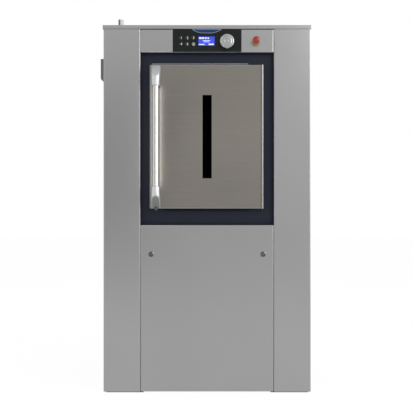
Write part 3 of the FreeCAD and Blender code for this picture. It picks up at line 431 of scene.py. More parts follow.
# Control overlay: a black film over the fascia plate and its six keys, printed in white on each key.
# Polycarbonate; each key has a small lamp beside its print.
def round_bar(x, near, far, z, radius, vertices=64):
    """Adds a bar along Y between two depths, with its local Z to the front."""
    bpy.ops.mesh.primitive_cylinder_add(vertices=vertices, radius=radius, depth=far - near,
                                        location=(x, (near + far) / 2, z), rotation=facing_front)
    return bpy.context.object


facing_front = (math.radians(90), 0, 0)
control_middle = 1.76925
fascia_front = -0.473
# The film is a soft black with little gleam, the print a flat white, and the lamps' lenses a cloudy grey.
overlay_film = plain_finish("black_overlay_film", "#1a1d1c", "#1f2221", 1.5, 0.0, 0.4, 0.01, 0.12)
dress(overlay_film, "control_fascia", *["program_key_%d" % number for number in range(1, 7)])
white_print = plain_finish("white_screen_print", "#d8dad8", "#e2e4e2", 2, 0.0, 0.6, 0.005, 0.2)
lamp_lens = plain_finish("clear_lamp_lens", "#8f9490", "#9aa09b", 2, 0.0, 0.25, 0.005)
key_column_x = (-0.1295, -0.0985, -0.0675)
key_half_pitch = 0.0155
key_row_z = (control_middle + key_half_pitch, control_middle - key_half_pitch)
digit_size, digit_weight, print_height = 0.017, 0.0003, 0.0003
ring_radius, ring_wire, triangle_radius = 0.0066, 0.0009, 0.0042
lamp_radius, lamp_half, lamp_left, lamp_rise = 0.0012, 0.0006, 0.0092, 0.001
key_proud = 0.0006
key_face = fascia_front - key_proud
for number in range(1, 7):
    x = key_column_x[(number - 1) % 3]
    z = key_row_z[(number - 1) // 3]
    if number < 6:
        bpy.ops.object.text_add(location=(x, key_face, z), rotation=facing_front)
        mark = bpy.context.object
        mark.data.body = str(number)
        mark.data.size = digit_size
        mark.data.align_x = "CENTER"
        mark.data.align_y = "CENTER"
        mark.data.extrude = print_height
        mark.data.offset = digit_weight
        bpy.ops.object.convert(target="MESH")
    else:
        # The start key has a ring with a triangle in it.
        bpy.ops.mesh.primitive_torus_add(major_radius=ring_radius, minor_radius=ring_wire, major_segments=48,
                                         minor_segments=6, location=(x, key_face, z), rotation=facing_front)
        mark = bpy.context.object
        mark.scale = (1, 1, print_height / ring_wire)
        bpy.ops.mesh.primitive_cylinder_add(vertices=3, radius=triangle_radius, depth=2 * print_height,
                                            location=(x, key_face, z),
                                            rotation=(math.radians(90), math.radians(90), 0))
        mark = join([mark, bpy.context.object])
    settle(mark, white_print)
    lamp = round_bar(x - lamp_left, key_face - lamp_half, key_face + lamp_half, z + lamp_rise,
                     lamp_radius, 24)
    soften(0.0004, 2)
    settle(lamp, lamp_lens)
    seat(mark, "key_%d_print" % number, "key_%d" % number, "key_plastic")
    seat(lamp, "key_%d_lamp" % number, "key_%d" % number, "key_plastic")


# Badge plate: a bare blue plate that hangs from the fascia's upper edge, with rounded ends and a rim.
# Enamelled aluminium, 1.8 mm, glued on: a smooth deep blue inside a bright metal edge.
def close_outward():
    """Turns all faces outwards and leaves edit mode."""
    pick_all()
    bpy.ops.mesh.normals_make_consistent(inside=False)
    end_edit()


def front_plane(x, y, z, width, height):
    """Adds a plane that faces the front."""
    bpy.ops.mesh.primitive_plane_add(size=1, location=(x, y, z), rotation=facing_front)
    made = bpy.context.object
    made.scale = (width, height, 1)
    bpy.ops.object.transform_apply(location=False, rotation=True, scale=True)
    return made


badge_rise, badge_drop = 0.059, 0.0195
badge_top = control_middle + badge_rise
badge_top_half, badge_foot_half, badge_corner = 0.0755, 0.052, 0.030
badge_thick, badge_rim, badge_sunk = 0.0018, 0.0018, 0.0005
badge_x = -0.0015
badge = front_plane(badge_x, fascia_front, badge_top - badge_drop / 2, 2 * badge_top_half, badge_drop)
start_edit()
pick("verts", lambda vert: vert.co.z < 0)
bpy.ops.transform.resize(value=(badge_foot_half / badge_top_half, 1, 1),
                         center_override=(badge_x, fascia_front, badge_top))
bpy.ops.mesh.bevel(offset=badge_corner, segments=12, affect="VERTICES")
pick_all()
extrude(0, -badge_thick, 0)
bpy.ops.mesh.inset(thickness=badge_rim)
extrude(0, badge_sunk, 0)
blue_enamel = plain_finish("blue_enamel", "#173566", "#1b3c72", 6, 0.0, 0.25, 0.005, 0.2)
bright_rim = plain_finish("bright_aluminium_rim", "#9aa2ad", "#a8b0ba", 6, 1.0, 0.35, 0.005)
badge.data.materials.append(bright_rim)
badge.data.materials.append(blue_enamel)
badge.active_material_index = 1
bpy.ops.object.material_slot_assign()
close_outward()
settle(badge)
seat(badge, "blue_badge_plate", "cabinet", "fascia_plastic")

# Display: a lit blue panel behind the fascia's window, with a pale readout of plain bars.
# Liquid crystal module on a green circuit board; the bars stand a hair in front of its glass.
display_x = -0.003
display_face = -0.470
bar_corner, bar_thick = 0.0007, 0.0004
# Lit from behind: an even blue glow, and bars that are nearly white.
lit_blue = plain_finish("lit_blue_display", "#1c2288", "#222890", 40, 0.0, 0.3, 0.001, 0.2)
pale_readout = plain_finish("pale_readout", "#c4ccff", "#ccd4ff", 20, 0.0, 0.5, 0.001, 0.2)
for material, glow_colour, glow_strength in ((lit_blue, "#5066f4", 0.6), (pale_readout, "#dfe4ff", 0.5)):
    shader = material.node_tree.nodes["Principled BSDF"]
    shader.inputs["Emission Color"].default_value = linear(glow_colour)
    shader.inputs["Emission Strength"].default_value = glow_strength
dress(lit_blue, "display_module")
bars = []
for bar_x, bar_z, bar_width, bar_height in (
        (-0.0315, 0.0155, 0.012, 0.008), (-0.0175, 0.0155, 0.012, 0.008), (-0.0035, 0.0155, 0.008, 0.008),
        (0.009, 0.0155, 0.007, 0.008), (0.0, 0.003, 0.038, 0.003), (0.0, -0.0035, 0.03, 0.0026),
        (-0.024, -0.0165, 0.030, 0.0045), (0.0235, -0.0158, 0.026, 0.0065)):
    bar = front_plane(display_x + bar_x, display_face, control_middle + bar_z, bar_width, bar_height)
    start_edit()
    pick_all()
    bpy.ops.mesh.bevel(offset=bar_corner, segments=3, affect="VERTICES")
    pick_all()
    extrude(0, -bar_thick, 0)
    close_outward()
    bars.append(bar)
readout = join(bars)
settle(readout, pale_readout)
seat(readout, "display_readout", "cabinet", "display_glass")
# Circuit board lacquer: a dark green with a slight gleam.
dress(plain_finish("green_circuit_board", "#16361d", "#1b4023", 5, 0.0, 0.5, 0.02), "control_board")


# Program knob: a wheel with stepped rings in its face and a small point at its foot.
# Turned from aluminium on a lathe; it sits on a shaft through the fascia.
def step_face(steps):
    """Insets the selected face step by step, and moves it to the front each time."""
    for step_in, step_out in steps:
        bpy.ops.mesh.inset(thickness=step_in)
        bpy.ops.transform.translate(value=(0, -step_out, 0))


knob_x, knob_z = 0.100, 1.76575
knob_radius, knob_side, knob_clearance = 0.035, 0.0195, 0.002
pointer_from, pointer_drop, pointer_taper = 0.0347, 0.0035, 0.25
knob_back = fascia_front - knob_clearance
knob = round_bar(knob_x, knob_back - knob_side, knob_back, knob_z, knob_radius, 128)
start_edit()
pick("faces", lambda face: face.normal.z > 0.9)
step_face(((0.0035, 0.0028), (0.0045, 0.0), (0.0012, -0.0010), (0.0050, 0.0032), (0.0090, 0.0),
           (0.0015, -0.0012), (0.0020, 0.0012)))
pick("faces", lambda face: face.calc_center_median().y < -pointer_from)
extrude(0, 0, -pointer_drop)
bpy.ops.transform.resize(value=(pointer_taper, 1, 1), center_override=(knob_x, knob_back, knob_z))
end_edit()
soften(0.0005, 2, 25)
knob_shaft_radius, knob_shaft_length = 0.005, 0.020
shaft = round_bar(knob_x, knob_back, knob_back + knob_shaft_length, knob_z, knob_shaft_radius, 32)
knob = join([knob, shaft])
# Turned aluminium: a pale grey sheen that shows each ring's edge.
settle(knob, plain_finish("turned_aluminium", "#9a9c9b", "#a6a8a7", 3, 1.0, 0.36, 0.003))
seat(knob, "turned_program_knob", "knob", "knob_metal", "program_knob")

# Emergency stops: a red mushroom head on an amber collar, one on each side of the wall.
# Moulded plastic, glossy on the head and softer on the collar. The head is pushed in against a spring
# and has a shallow furrow round it; the collar clamps the barrel to the panel.
stop_x = 0.246
panel_front = -0.470
collar_parts = []
for radius, near, far in ((0.0195, 0.0, 0.004), (0.0145, 0.004, 0.018), (0.011, -0.025, 0.0)):
    collar_parts.append(round_bar(stop_x, panel_front - far, panel_front - near, control_middle, radius))
    soften(0.0012, 3)
collar = join(collar_parts)
settle(collar, plain_finish("amber_moulding", "#b5873f", "#c09249", 6, 0.0, 0.4, 0.01, 0.3))
rear_collar = copied(collar, turn=half_turn)
seat(collar, "front_stop_collar", "cabinet", "yellow_plastic", "estop_collars")
seat(rear_collar, "rear_stop_collar", "cabinet", "yellow_plastic")
head_radius, head_side, head_gap = 0.018, 0.010, 0.027
head_back = panel_front - head_gap
furrow_near, furrow_far, furrow_depth, furrow_reach = 0.003, 0.005, 0.0008, 0.0005
furrow_middle = (furrow_near + furrow_far) / 2 - head_side / 2
head = round_bar(stop_x, head_back - head_side, head_back, control_middle, head_radius)
start_edit()
pick("faces", lambda face: face.normal.z > 0.9)
step_face(((0.0016, 0.0028), (0.0032, 0.0026), (0.0045, 0.0018), (0.0045, 0.0007)))
for furrow_edge in (furrow_near, furrow_far):
    cut((0, head_back - furrow_edge, 0), (0, 1, 0))
pick("faces", lambda face: abs(face.normal.z) < 0.1
     and abs(face.calc_center_median().z - furrow_middle) < furrow_reach)
swell(-furrow_depth)
end_edit()
soften(0.0008, 3, 50)
stem_radius, stem_length = 0.006, 0.052
stem = round_bar(stop_x, head_back, head_back + stem_length, control_middle, stem_radius, 32)
head = join([head, stem])
settle(head, plain_finish("red_moulding", "#96231f", "#a02a26", 8, 0.0, 0.28, 0.01, 0.5), smooth=50)
rear_head = copied(head, turn=half_turn)
seat(head, "front_stop_mushroom", "front_estop", "red_plastic", "front_estop_head")
seat(rear_head, "rear_stop_mushroom", "rear_estop", "red_plastic", "rear_estop_head")

# Quarter-turn locks of the service panel: a bevelled head with a three-sided driver in its dark recess.
# Die-cast zinc, plated; the shank carries a cam that turns behind the column.
lock_x, lock_z = 0.282, 0.696
lock_head, lock_side, recess_depth = 0.014, 0.002, 0.0061
driver_radius, driver_front, driver_back = 0.005, 0.006, 0.002
shank_radius, shank_overlap, shank_end = 0.009, 0.001, 0.033
cam_length, cam_width, cam_thick = 0.042, 0.016, 0.003
# Dark plating mirrors sharply, so that the bevel sparkles; the barrel inside is painted nearly black as
# painted shade in the recess.
plated_zinc = plain_finish("dark_plated_zinc", "#626263", "#6c6c6d", 4, 1.0, 0.15, 0.002)
dark_recess = plain_finish("dark_lock_barrel", "#131314", "#18181a", 2, 0.2, 0.5, 0.01, 0.2)
for side, body, node in ((-1, "left_lock", "left_panel_lock"), (1, "right_lock", "right_panel_lock")):
    x = side * lock_x
    lock = round_bar(x, panel_front - lock_side, panel_front, lock_z, lock_head)
    lock.data.materials.append(plated_zinc)
    lock.data.materials.append(dark_recess)
    start_edit()
    pick("faces", lambda face: face.normal.z > 0.9)
    step_face(((0.0038, 0.0032), (0.0006, 0.0)))
    extrude(0, recess_depth, 0)
    lock.active_material_index = 1
    bpy.ops.object.material_slot_assign()
    end_edit()
    driver = round_bar(x, panel_front - driver_front, panel_front - driver_back, lock_z, driver_radius, 3)
    soften(0.0005, 2)
    shank = round_bar(x, panel_front - shank_overlap, panel_front + shank_end, lock_z, shank_radius, 48)
    soften(0.0006, 2)
    cam_back = panel_front + shank_end
    cam = block(*sorted((x, x + side * cam_length)), cam_back - cam_thick, cam_back,
                lock_z - cam_width / 2, lock_z + cam_width / 2)
    soften(0.0006, 2)
    for part in (driver, shank, cam):
        part.data.materials.append(plated_zinc)
    lock = join([lock, driver, shank, cam])
    settle(lock, smooth=20)
    seat(lock, node.replace("panel_lock", "quarter_turn_lock"), body, "lock_metal", node)

# Water inlet: a stub pipe that stands on the cover at the left, with a welded flange.
# Dark steel with a soft sheen under a white ribbed plastic sleeve; the bare dark left side is painted shade
# for the pipe's side away from the light.
pipe_x, pipe_y = -0.460, -0.210
pipe_low, cover_top, pipe_top = 1.790, 1.850, 1.934
pipe_radius, pipe_bore, neck_radius = 0.015, 0.011, 0.0145
flange_radius, flange_thick, flange_edge = 0.026, 0.006, 0.001
valley_radius, rib_radius, rib_pitch, rib_count = 0.0138, 0.0142, 0.006, 12
sleeve_wall, sleeve_gap, sleeve_side, inside_limit = 0.0008, 0.004, -0.0015, 0.005
# Each step of the outline is the next ring's radius and its rise over the last one.
outline = [(pipe_radius, cover_top - pipe_low), (flange_radius, 0),
           (flange_radius, flange_thick - flange_edge), (flange_radius - flange_edge, flange_edge),
           (neck_radius, 0), (valley_radius, pipe_top - cover_top - flange_thick - rib_pitch * rib_count)]
rib_flank, rib_flat = rib_pitch * 0.3, rib_pitch * 0.2
outline += [(rib_radius, rib_flank), (rib_radius, rib_flat),
            (valley_radius, rib_flank), (valley_radius, rib_flat)] * rib_count
outline += [(pipe_bore, 0), (pipe_bore, pipe_low - pipe_top), (pipe_radius, 0)]
bpy.ops.mesh.primitive_circle_add(vertices=48, radius=pipe_radius, location=(pipe_x, pipe_y, pipe_low))
pipe = bpy.context.object
start_edit()
bpy.ops.mesh.select_mode(type="EDGE")
pick_all()
last_radius = pipe_radius
for next_radius, rise in outline:
    extrude(0, 0, rise)
    growth = next_radius / last_radius
    bpy.ops.transform.resize(value=(growth, growth, 1), center_override=(pipe_x, pipe_y, pipe_low))
    last_radius = next_radius
pick_all()
bpy.ops.mesh.remove_doubles(threshold=0.00001)
bpy.ops.mesh.normals_make_consistent(inside=False)
pipe.data.materials.append(plain_finish("dark_steel_pipe", "#6a6a69", "#747473", 5, 1.0, 0.4, 0.02))
pipe.data.materials.append(plain_finish("white_ribbed_sleeve", "#e4e4e3", "#eaeae9", 8, 0.0, 0.4, 0.01))
sleeve_low = cover_top - pipe_low + flange_thick + sleeve_gap


def in_sleeve(face):
    """Whether a face is on the pipe's outside, above the flange and right of the painted shade on the left
    side.
    """
    middle = face.calc_center_median()
    outer = middle.x * face.normal.x + middle.y * face.normal.y > inside_limit
    return outer and middle.z > sleeve_low and middle.x > sleeve_side


pick("faces", in_sleeve)
swell(sleeve_wall)
pipe.active_material_index = 1
bpy.ops.object.material_slot_assign()
end_edit()
settle(pipe, smooth=40)
seat(pipe, "sleeved_inlet_stub", "cabinet", "pipe_steel", "water_inlet_pipe")

# Terminal box on the left side: a small box with a lid, a chamfered foot and two hexagon heads.
# Moulded in ABS, which is an even, matt grey, and screwed to the side panel.
box_right, box_left = -0.522, -0.541
box_front, box_back = -0.428, -0.348
box_low, box_high = 1.577, 1.687
foot_chamfer, lid_edge, lid_groove = 0.009, 0.004, 0.001
hexagon_radius, hexagon_high, hexagon_rise = 0.0055, 0.0025, 0.0165
terminal = block(box_left, box_right, box_front, box_back, box_low, box_high)
start_edit()
pick("edges", lambda edge: all(vert.co.x < 0 and vert.co.z < 0 for vert in edge.verts))
bpy.ops.mesh.bevel(offset=foot_chamfer, segments=1)
pick("faces", lambda face: face.normal.x < -0.9)
for width, shift in ((lid_edge, lid_groove), (lid_groove, -lid_groove)):
    bpy.ops.mesh.inset(thickness=width)
    extrude(shift, 0, 0)
end_edit()
soften(0.0012, 2)
parts = [terminal]
for rise in (-hexagon_rise, hexagon_rise):
    bpy.ops.mesh.primitive_cylinder_add(vertices=6, radius=hexagon_radius, depth=hexagon_high,
                                        location=(box_left - hexagon_high / 2, (box_front + box_back) / 2,
                                                  (box_low + box_high) / 2 + rise),
                                        rotation=(0, math.radians(90), 0))
    soften(0.0006, 2)
    parts.append(bpy.context.object)
terminal = join(parts)
settle(terminal, plain_finish("grey_abs_moulding", "#636364", "#6d6d6e", 3, 0.0, 0.5, 0.03))
seat(terminal, "lidded_terminal_box", "cabinet", "box_plastic", "side_terminal_box")


# Mouth bellows: the rubber ring between each door frame and the tub's neck, so that the tub can swing.
# Moulded in one piece, 3.4 mm, with a lip on the frame, one deep fold and a cuff on the neck.
# The rubber is a dark, matt grey.
def thicken(sheet, thickness):
    """Gives a sheet its wall, half to each side."""
    wall = sheet.modifiers.new("wall", "SOLIDIFY")
    wall.thickness = thickness
    wall.offset = 0
    bpy.ops.object.modifier_apply(modifier=wall.name)


mouth_half_x, mouth_half_z = 0.185, 0.215
mouth_corner, bellows_wall = 0.030, 0.0034
# Each point is how far the rubber stands out from the mouth's outline, and its depth.
fold_path = ((0.020, -0.4478), (0.010, -0.4478), (0.002, -0.4470), (0.002, -0.4432), (0.013, -0.4420),
             (0.0142, -0.4378), (0.013, -0.4338), (0.002, -0.4320), (0.002, -0.4275), (0.0053, -0.4245),
             (0.0053, -0.4110))
start_out, start_y = fold_path[0]
front_bellows = front_plane(0, start_y, door_middle, 2 * (mouth_half_x + start_out),
                            2 * (mouth_half_z + start_out))
start_edit()
pick_all()
bpy.ops.mesh.bevel(offset=mouth_corner + start_out, segments=10, affect="VERTICES")
bpy.ops.mesh.select_mode(type="EDGE")
pick_all()
bpy.ops.mesh.delete(type="ONLY_FACE")
pick_all()
for (out_now, y_now), (out_next, y_next) in zip(fold_path, fold_path[1:]):
    extrude(0, y_next - y_now, 0)
    bpy.ops.transform.resize(value=((mouth_half_x + out_next) / (mouth_half_x + out_now), 1,
                                    (mouth_half_z + out_next) / (mouth_half_z + out_now)),
                             center_override=(0, y_next, door_middle))
close_outward()
thicken(front_bellows, bellows_wall)
rounded = front_bellows.modifiers.new("rounded", "SUBSURF")
rounded.levels = 1
bpy.ops.object.modifier_apply(modifier=rounded.name)
moulded_rubber = plain_finish("grey_moulded_rubber", "#2b2b2c", "#343435", 4, 0.0, 0.55, 0.03, 0.3)
settle(front_bellows, moulded_rubber, smooth=60)
rear_bellows = copied(front_bellows, turn=half_turn)
for bellows, name, toward in ((front_bellows, "front_mouth_fold", -1), (rear_bellows, "rear_mouth_fold", 1)):
    bellows.name = name
    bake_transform(bellows)
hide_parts("mouth_bellows")

# Suspension springs: four coils under the cradle's corners, which carry the tub.
# Wound from 16 mm spring steel in six turns, with open ends, under a black coat with a slight sheen,
# which the dampers' cylinders have too.
coil_x, coil_y = 0.430, 0.290
coil_radius, wire_radius, coil_turns = 0.055, 0.008, 6
coil_low, coil_high = 0.1082, 0.4118
black_coat = plain_finish("black_spring_coat", "#1a1a1c", "#232325", 8, 0.0, 0.5, 0.03)
dress(black_coat, "damper_cylinders")
bpy.ops.mesh.primitive_circle_add(vertices=14, radius=wire_radius, location=(coil_x, coil_y, coil_low),
                                  rotation=facing_front)
coil = bpy.context.object
bpy.ops.object.transform_apply(location=False, rotation=True, scale=False)
start_edit()
pick_all()
bpy.ops.transform.translate(value=(coil_radius, 0, 0))
end_edit()
winding = coil.modifiers.new("winding", "SCREW")
winding.screw_offset = (coil_high - coil_low) / coil_turns
winding.iterations = coil_turns
winding.steps = 36
bpy.ops.object.modifier_apply(modifier=winding.name)
start_edit()
bpy.ops.mesh.select_mode(type="EDGE")
bpy.ops.mesh.select_all(action="DESELECT")
bpy.ops.mesh.select_non_manifold()
bpy.ops.mesh.edge_face_add()
close_outward()
settle(coil, black_coat, smooth=50)
coils = [coil] + [copied(coil, shift) for shift in
                  ((-2 * coil_x, 0, 0), (0, -2 * coil_y, 0), (-2 * coil_x, -2 * coil_y, 0))]
coils = join(coils)
coils.name = "wound_suspension_springs"
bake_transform(coils)
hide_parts("suspension_springs")

# Drum shutter: a curved plate that slides round the drum over its hatch, with a grip bar near its foot.
# Stainless sheet, 2 mm, punched with holes about 20 mm apart so that water drains through it.
# Tumbling laundry keeps the sheet of shutter, drum and lifters bright, with a soft mirror and fine
# scuffs, which are drawn 8 mm wide so that they show.
plate_radius, plate_thick = 0.3465, 0.002
hole_columns, hole_rows, hole_land = 18, 19, 0.0042
grip_angle, grip_length, grip_rise, grip_width = math.radians(-29), 0.120, 0.0085, 0.012
grip_proud = 0.005
grip_radius = plate_radius + grip_proud
plate_half_x, plate_half_angle = 0.182, math.radians(32)
drum_sheet = grained_sheet("polished_drum_sheet", "#b4b4b4", "#c0c0c0", (30, 120, 120), 1.0, 0.3, 0.0001)
dress(drum_sheet, "drum_shell", "drum_lifters")
bpy.ops.mesh.primitive_grid_add(x_subdivisions=hole_columns, y_subdivisions=hole_rows, size=1)
plate = bpy.context.object
plate.scale = (2 * plate_half_x, 2 * plate_half_angle * plate_radius, 1)
bpy.ops.object.transform_apply(location=False, rotation=False, scale=True)
start_edit()
bpy.ops.mesh.select_mode(type="FACE")
pick_all()
bpy.ops.mesh.inset(thickness=hole_land, use_individual=True)
bpy.ops.mesh.delete(type="FACE")
end_edit()
rounded = plate.modifiers.new("rounded", "SUBSURF")
rounded.levels = 2
rounded.boundary_smooth = "PRESERVE_CORNERS"
bpy.ops.object.modifier_apply(modifier=rounded.name)
# Rolled to the drum's curve: each point goes round the axis by its own length along the plate.
for point in plate.data.vertices:
    angle = point.co.y / plate_radius
    point.co = (point.co.x, -plate_radius * math.cos(angle), door_middle + plate_radius * math.sin(angle))
thicken(plate, plate_thick)
bpy.ops.mesh.primitive_cube_add(size=1, rotation=(-grip_angle, 0, 0),
                                location=(0, -grip_radius * math.cos(grip_angle),
                                          door_middle + grip_radius * math.sin(grip_angle)))
grip = bpy.context.object
grip.scale = (grip_length, grip_rise, grip_width)
bpy.ops.object.transform_apply(location=True, rotation=True, scale=True)
soften(0.003, 4)
shutter = join([plate, grip])
settle(shutter, drum_sheet)
seat(shutter, "punched_drum_shutter", "shutter", "drum_steel", "drum_shutter")

# Panel screws: low round heads with a round socket, along the side panels, the cover and the rear panel.
# Stainless M5, into clinch nuts in the frame; bright, with a soft mirror.
screw_head, screw_high, screw_rounding = 0.0052, 0.0026, 0.0012
socket_edge, socket_depth = 0.0018, 0.0014
bpy.ops.mesh.primitive_cylinder_add(vertices=24, radius=screw_head, depth=screw_high,
                                    location=(0, 0, screw_high / 2))
screw = bpy.context.object
soften(screw_rounding)
start_edit()
pick("faces", lambda face: face.normal.z > 0.99)
bpy.ops.mesh.inset(thickness=socket_edge)
extrude(0, 0, -socket_depth)
end_edit()
settle(screw, plain_finish("stainless_screw", "#8f8f8f", "#9a9a9a", 3, 1.0, 0.3, 0.01))
side_x, cover_x, rear_x = 0.522, 0.526, 0.310
cover_z, rear_y = 1.8405, 0.470
screws = []
for side in (-1, 1):
    turned = (0, side * math.radians(90), 0)
    for y in (-0.40, 0.40):
        for z in (0.13, 0.55, 0.97, 1.39, 1.78):
            screws.append(copied(screw, (side * side_x, y, z), turned))
    for y in (-0.30, 0.0, 0.30):
        screws.append(copied(screw, (side * cover_x, y, cover_z), turned))
    for z in (0.06, 0.42, 0.79):
        screws.append(copied(screw, (side * rear_x, rear_y, z), (math.radians(-90), 0, 0)))
bpy.data.objects.remove(screw)
screws = join(screws)
seat(screws, "panel_screws", "cabinet", "lock_metal")

# Seam sealant: a bead of grey silicone at the foot of the groove between each column and the panels.
# Run in from a nozzle after the panels are hung, so that no water gets behind them; its pale matt grey is
# also painted light that covers the groove's shade.
seam_x, seam_width = 0.3356, 0.0008
bead_front, bead_back = -0.4668, -0.4630
grey_silicone = plain_finish("grey_silicone", "#a9a9a9", "#b3b3b3", 3, 0.0, 0.5, 0.01)
beads = []
for side in (-1, 1):
    for bead_low, bead_high in ((0.006, 0.8425), (1.7130, 1.8295)):
        bead_left = side * seam_x - seam_width / 2
        beads.append(block(bead_left, bead_left + seam_width, bead_front, bead_back, bead_low, bead_high))
        soften(0.0003, 2)
sealant = join(beads)
settle(sealant, grey_silicone)
rear_sealant = copied(sealant, turn=half_turn)
seat(sealant, "front_seam_sealant", "cabinet", "bellows_rubber")
seat(rear_sealant, "rear_seam_sealant", "cabinet", "bellows_rubber")


# Stage: a plain pale floor, a white world and soft lamps, brighter from the upper right in front.
# Camera, mirror and glass rays see the studio's white; diffuse light stays at a plain level.
def white_where_seen(tree, lit, shown):
    """Shows one shader to camera, glossy and transmission rays, and gives light by the other."""
    ray = add_node(tree, "ShaderNodeLightPath")
    seen = ray.outputs["Is Camera Ray"]
    for kind in ("Is Glossy Ray", "Is Transmission Ray"):
        either = add_node(tree, "ShaderNodeMath", (), {0: seen, 1: ray.outputs[kind]}, operation="MAXIMUM")
        seen = either.outputs[0]
    return add_node(tree, "ShaderNodeMixShader", (), {0: seen, 1: lit.outputs[0], 2: shown.outputs[0]})


sky_strength, corner_level = 0.68, 0.5
world = bpy.data.worlds.new("white_studio")
bpy.context.scene.world = world
world.use_nodes = True
tree = world.node_tree
soft_sky = tree.nodes["Background"]
soft_sky.inputs["Color"].default_value = linear("#ffffff")
soft_sky.inputs["Strength"].default_value = sky_strength
# Mirrors see the studio brightest to the right and dim in its back corners, so that folds facing right
# show as pale lines and the outline keeps a grey edge.
direction = add_node(tree, "ShaderNodeTexCoord")
axes = add_node(tree, "ShaderNodeSeparateXYZ", (), {0: direction.outputs["Generated"]})
# To the right, to the left and to the far left, the level goes from 1 to the last value.
shares = []
for start, end, side_level in ((0.28, 0.6, 2.1), (-0.28, -0.45, 0.7), (-0.65, -0.85, 2.0)):
    shares.append(add_node(tree, "ShaderNodeMapRange", {"From Min": start, "From Max": end, "To Min": 1.0,
                                                        "To Max": side_level}, {"Value": axes.outputs["X"]}))
behind = add_node(tree, "ShaderNodeMapRange", {"From Min": 0.1, "From Max": 0.4},
                  {"Value": axes.outputs["Y"]})
sideways = add_node(tree, "ShaderNodeMath", (), {0: axes.outputs["X"]}, operation="ABSOLUTE")
corner = add_node(tree, "ShaderNodeMapRange", {"From Min": 0.3, "From Max": 0.6},
                  {"Value": sideways.outputs[0]})
back_corner = add_node(tree, "ShaderNodeMath", (), {0: behind.outputs[0], 1: corner.outputs[0]},
                       operation="MULTIPLY")
shares.append(add_node(tree, "ShaderNodeMapRange", {"To Min": 1.0, "To Max": corner_level},
                       {"Value": back_corner.outputs[0]}))
level = shares[0]
for share in shares[1:]:
    level = add_node(tree, "ShaderNodeMath", (), {0: level.outputs[0], 1: share.outputs[0]},
                     operation="MULTIPLY")
white_sky = add_node(tree, "ShaderNodeBackground", {"Color": linear("#ffffff")},
                     {"Strength": level.outputs[0]})
mixed = white_where_seen(tree, soft_sky, white_sky)
tree.links.new(mixed.outputs[0], tree.nodes["World Output"].inputs["Surface"])

# The floor shows as a near white that takes a little of the lamps' light, and so of the part's shadow.
floor_size, floor_glow, floor_shade = 40.0, 0.93, 0.09
bpy.ops.mesh.primitive_plane_add(size=floor_size, location=(0, 0, 0))
floor = bpy.context.object
floor.name = "pale_floor"
floor_paint = bpy.data.materials.new("pale_floor_paint")
floor_paint.use_nodes = True
tree = floor_paint.node_tree
tree.nodes.remove(tree.nodes["Principled BSDF"])
matt = add_node(tree, "ShaderNodeBsdfDiffuse", {"Color": linear("#f2f2f2")})
glow = add_node(tree, "ShaderNodeEmission", {"Color": linear("#ffffff"), "Strength": floor_glow})
shaded = add_node(tree, "ShaderNodeBsdfDiffuse", {"Color": (floor_shade, floor_shade, floor_shade, 1.0)})
bright = add_node(tree, "ShaderNodeAddShader", (), {0: glow.outputs[0], 1: shaded.outputs[0]})
mixed = white_where_seen(tree, matt, bright)
tree.links.new(mixed.outputs[0], tree.nodes["Material Output"].inputs["Surface"])
floor.data.materials.append(floor_paint)

for lamp_name, spot, aim, size, power in (
        ("key_lamp", (2.4, -4.2, 4.4), (0, -0.4, 1.0), 1.6, 50),
        ("fill_lamp", (-3.2, -3.6, 2.0), (0, -0.4, 1.0), 2.0, 14),
        ("left_strip", (-3.6, -1.6, 1.1), (0, -0.4, 1.1), 2.2, 18),
        ("right_strip", (2.6, -1.0, 1.25), (-0.2, -0.5, 1.25), 1.6, 7),
        ("back_lamp", (-2.0, 4.0, 3.2), (0, 0.4, 1.0), 2.6, 14)):
    bpy.ops.object.light_add(type="AREA", location=spot)
    lamp = bpy.context.object
    lamp.name = lamp_name
    lamp.data.size = size
    lamp.data.energy = power
    lamp.rotation_euler = (Vector(aim) - Vector(spot)).to_track_quat("-Z", "Y").to_euler()
    # The high lamp and the left ones would wash out the mirror images, so mirrors don't show them.
    lamp.visible_glossy = lamp_name in ("right_strip", "back_lamp")

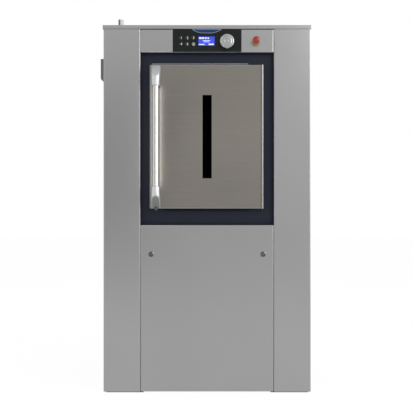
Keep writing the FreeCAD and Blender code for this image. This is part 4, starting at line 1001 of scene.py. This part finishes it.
# Cards that only mirrors see, each with its place, its turn in degrees, its size and its level.
# The grey card darkens the left column, and the high and wide ones set the tone of the flat panels.
# The two strips give the tube's bright line, its glow on the door and the paler door left of it.
# The key card lights the right column's top, the side card the right halves of tube, brackets and knob,
# and the lock card the bevels of the panel locks and the upper seams.
for card_name, spot, turn, size, level in (
        ("grey_card", (-1.15, -5.3, 1.35), (90, 14, 0), (1.3, 1.9), 0.5),
        ("handle_strip", (-0.2655, -0.8, 1.3125), (90, 0, 0), (0.02, 0.53), 6.0),
        ("edge_strip", (-0.2940, -0.8, 1.3125), (90, 0, 0), (0.016, 0.62), 2.2),
        ("key_card", (1.5, -3.2, 2.6), (90, 0, 0), (0.6, 0.6), 8.0),
        ("side_card", (2.4, -1.8, 1.7), (90, 0, 64), (1.3, 1.25), 4.5),
        ("lock_card", (2.6, -0.98, 2.55), (90, 0, 80), (1.0, 0.9), 9.0),
        ("high_card", (0.0, -5.4, 2.35), (90, 0, 0), (1.7, 0.9), 0.86),
        ("wide_card", (0.3, -5.5, 0.7), (90, 0, 0), (2.6, 1.2), 0.84)):
    bpy.ops.mesh.primitive_plane_add(size=1, location=spot)
    card = bpy.context.object
    card.name = card_name
    card.scale = (*size, 1)
    card.rotation_euler = [math.radians(part) for part in turn]
    bpy.ops.object.transform_apply(location=True, rotation=True, scale=True)
    paper = bpy.data.materials.new(card_name + "_paper")
    paper.use_nodes = True
    tree = paper.node_tree
    tree.nodes.remove(tree.nodes["Principled BSDF"])
    grey = add_node(tree, "ShaderNodeEmission", {"Color": (level, level, level, 1.0), "Strength": 1.0})
    tree.links.new(grey.outputs[0], tree.nodes["Material Output"].inputs["Surface"])
    card.data.materials.append(paper)
    card.visible_camera = False
    card.visible_diffuse = False
    card.visible_shadow = False

# The photograph is nearly square on: 4.2 m in front of the panels' plane, at about half height.
camera_x, camera_z, camera_distance = -0.0055, 0.939, 4.2
frame_width, sensor_mm = 2.075, 36
bpy.ops.object.camera_add(location=(camera_x, panel_front - camera_distance, camera_z), rotation=facing_front)
camera = bpy.context.object
camera.data.sensor_width = sensor_mm
camera.data.lens = sensor_mm * camera_distance / frame_width
camera.data.clip_end = 100
bpy.context.scene.camera = camera
bpy.context.scene.view_settings.view_transform = "Standard"
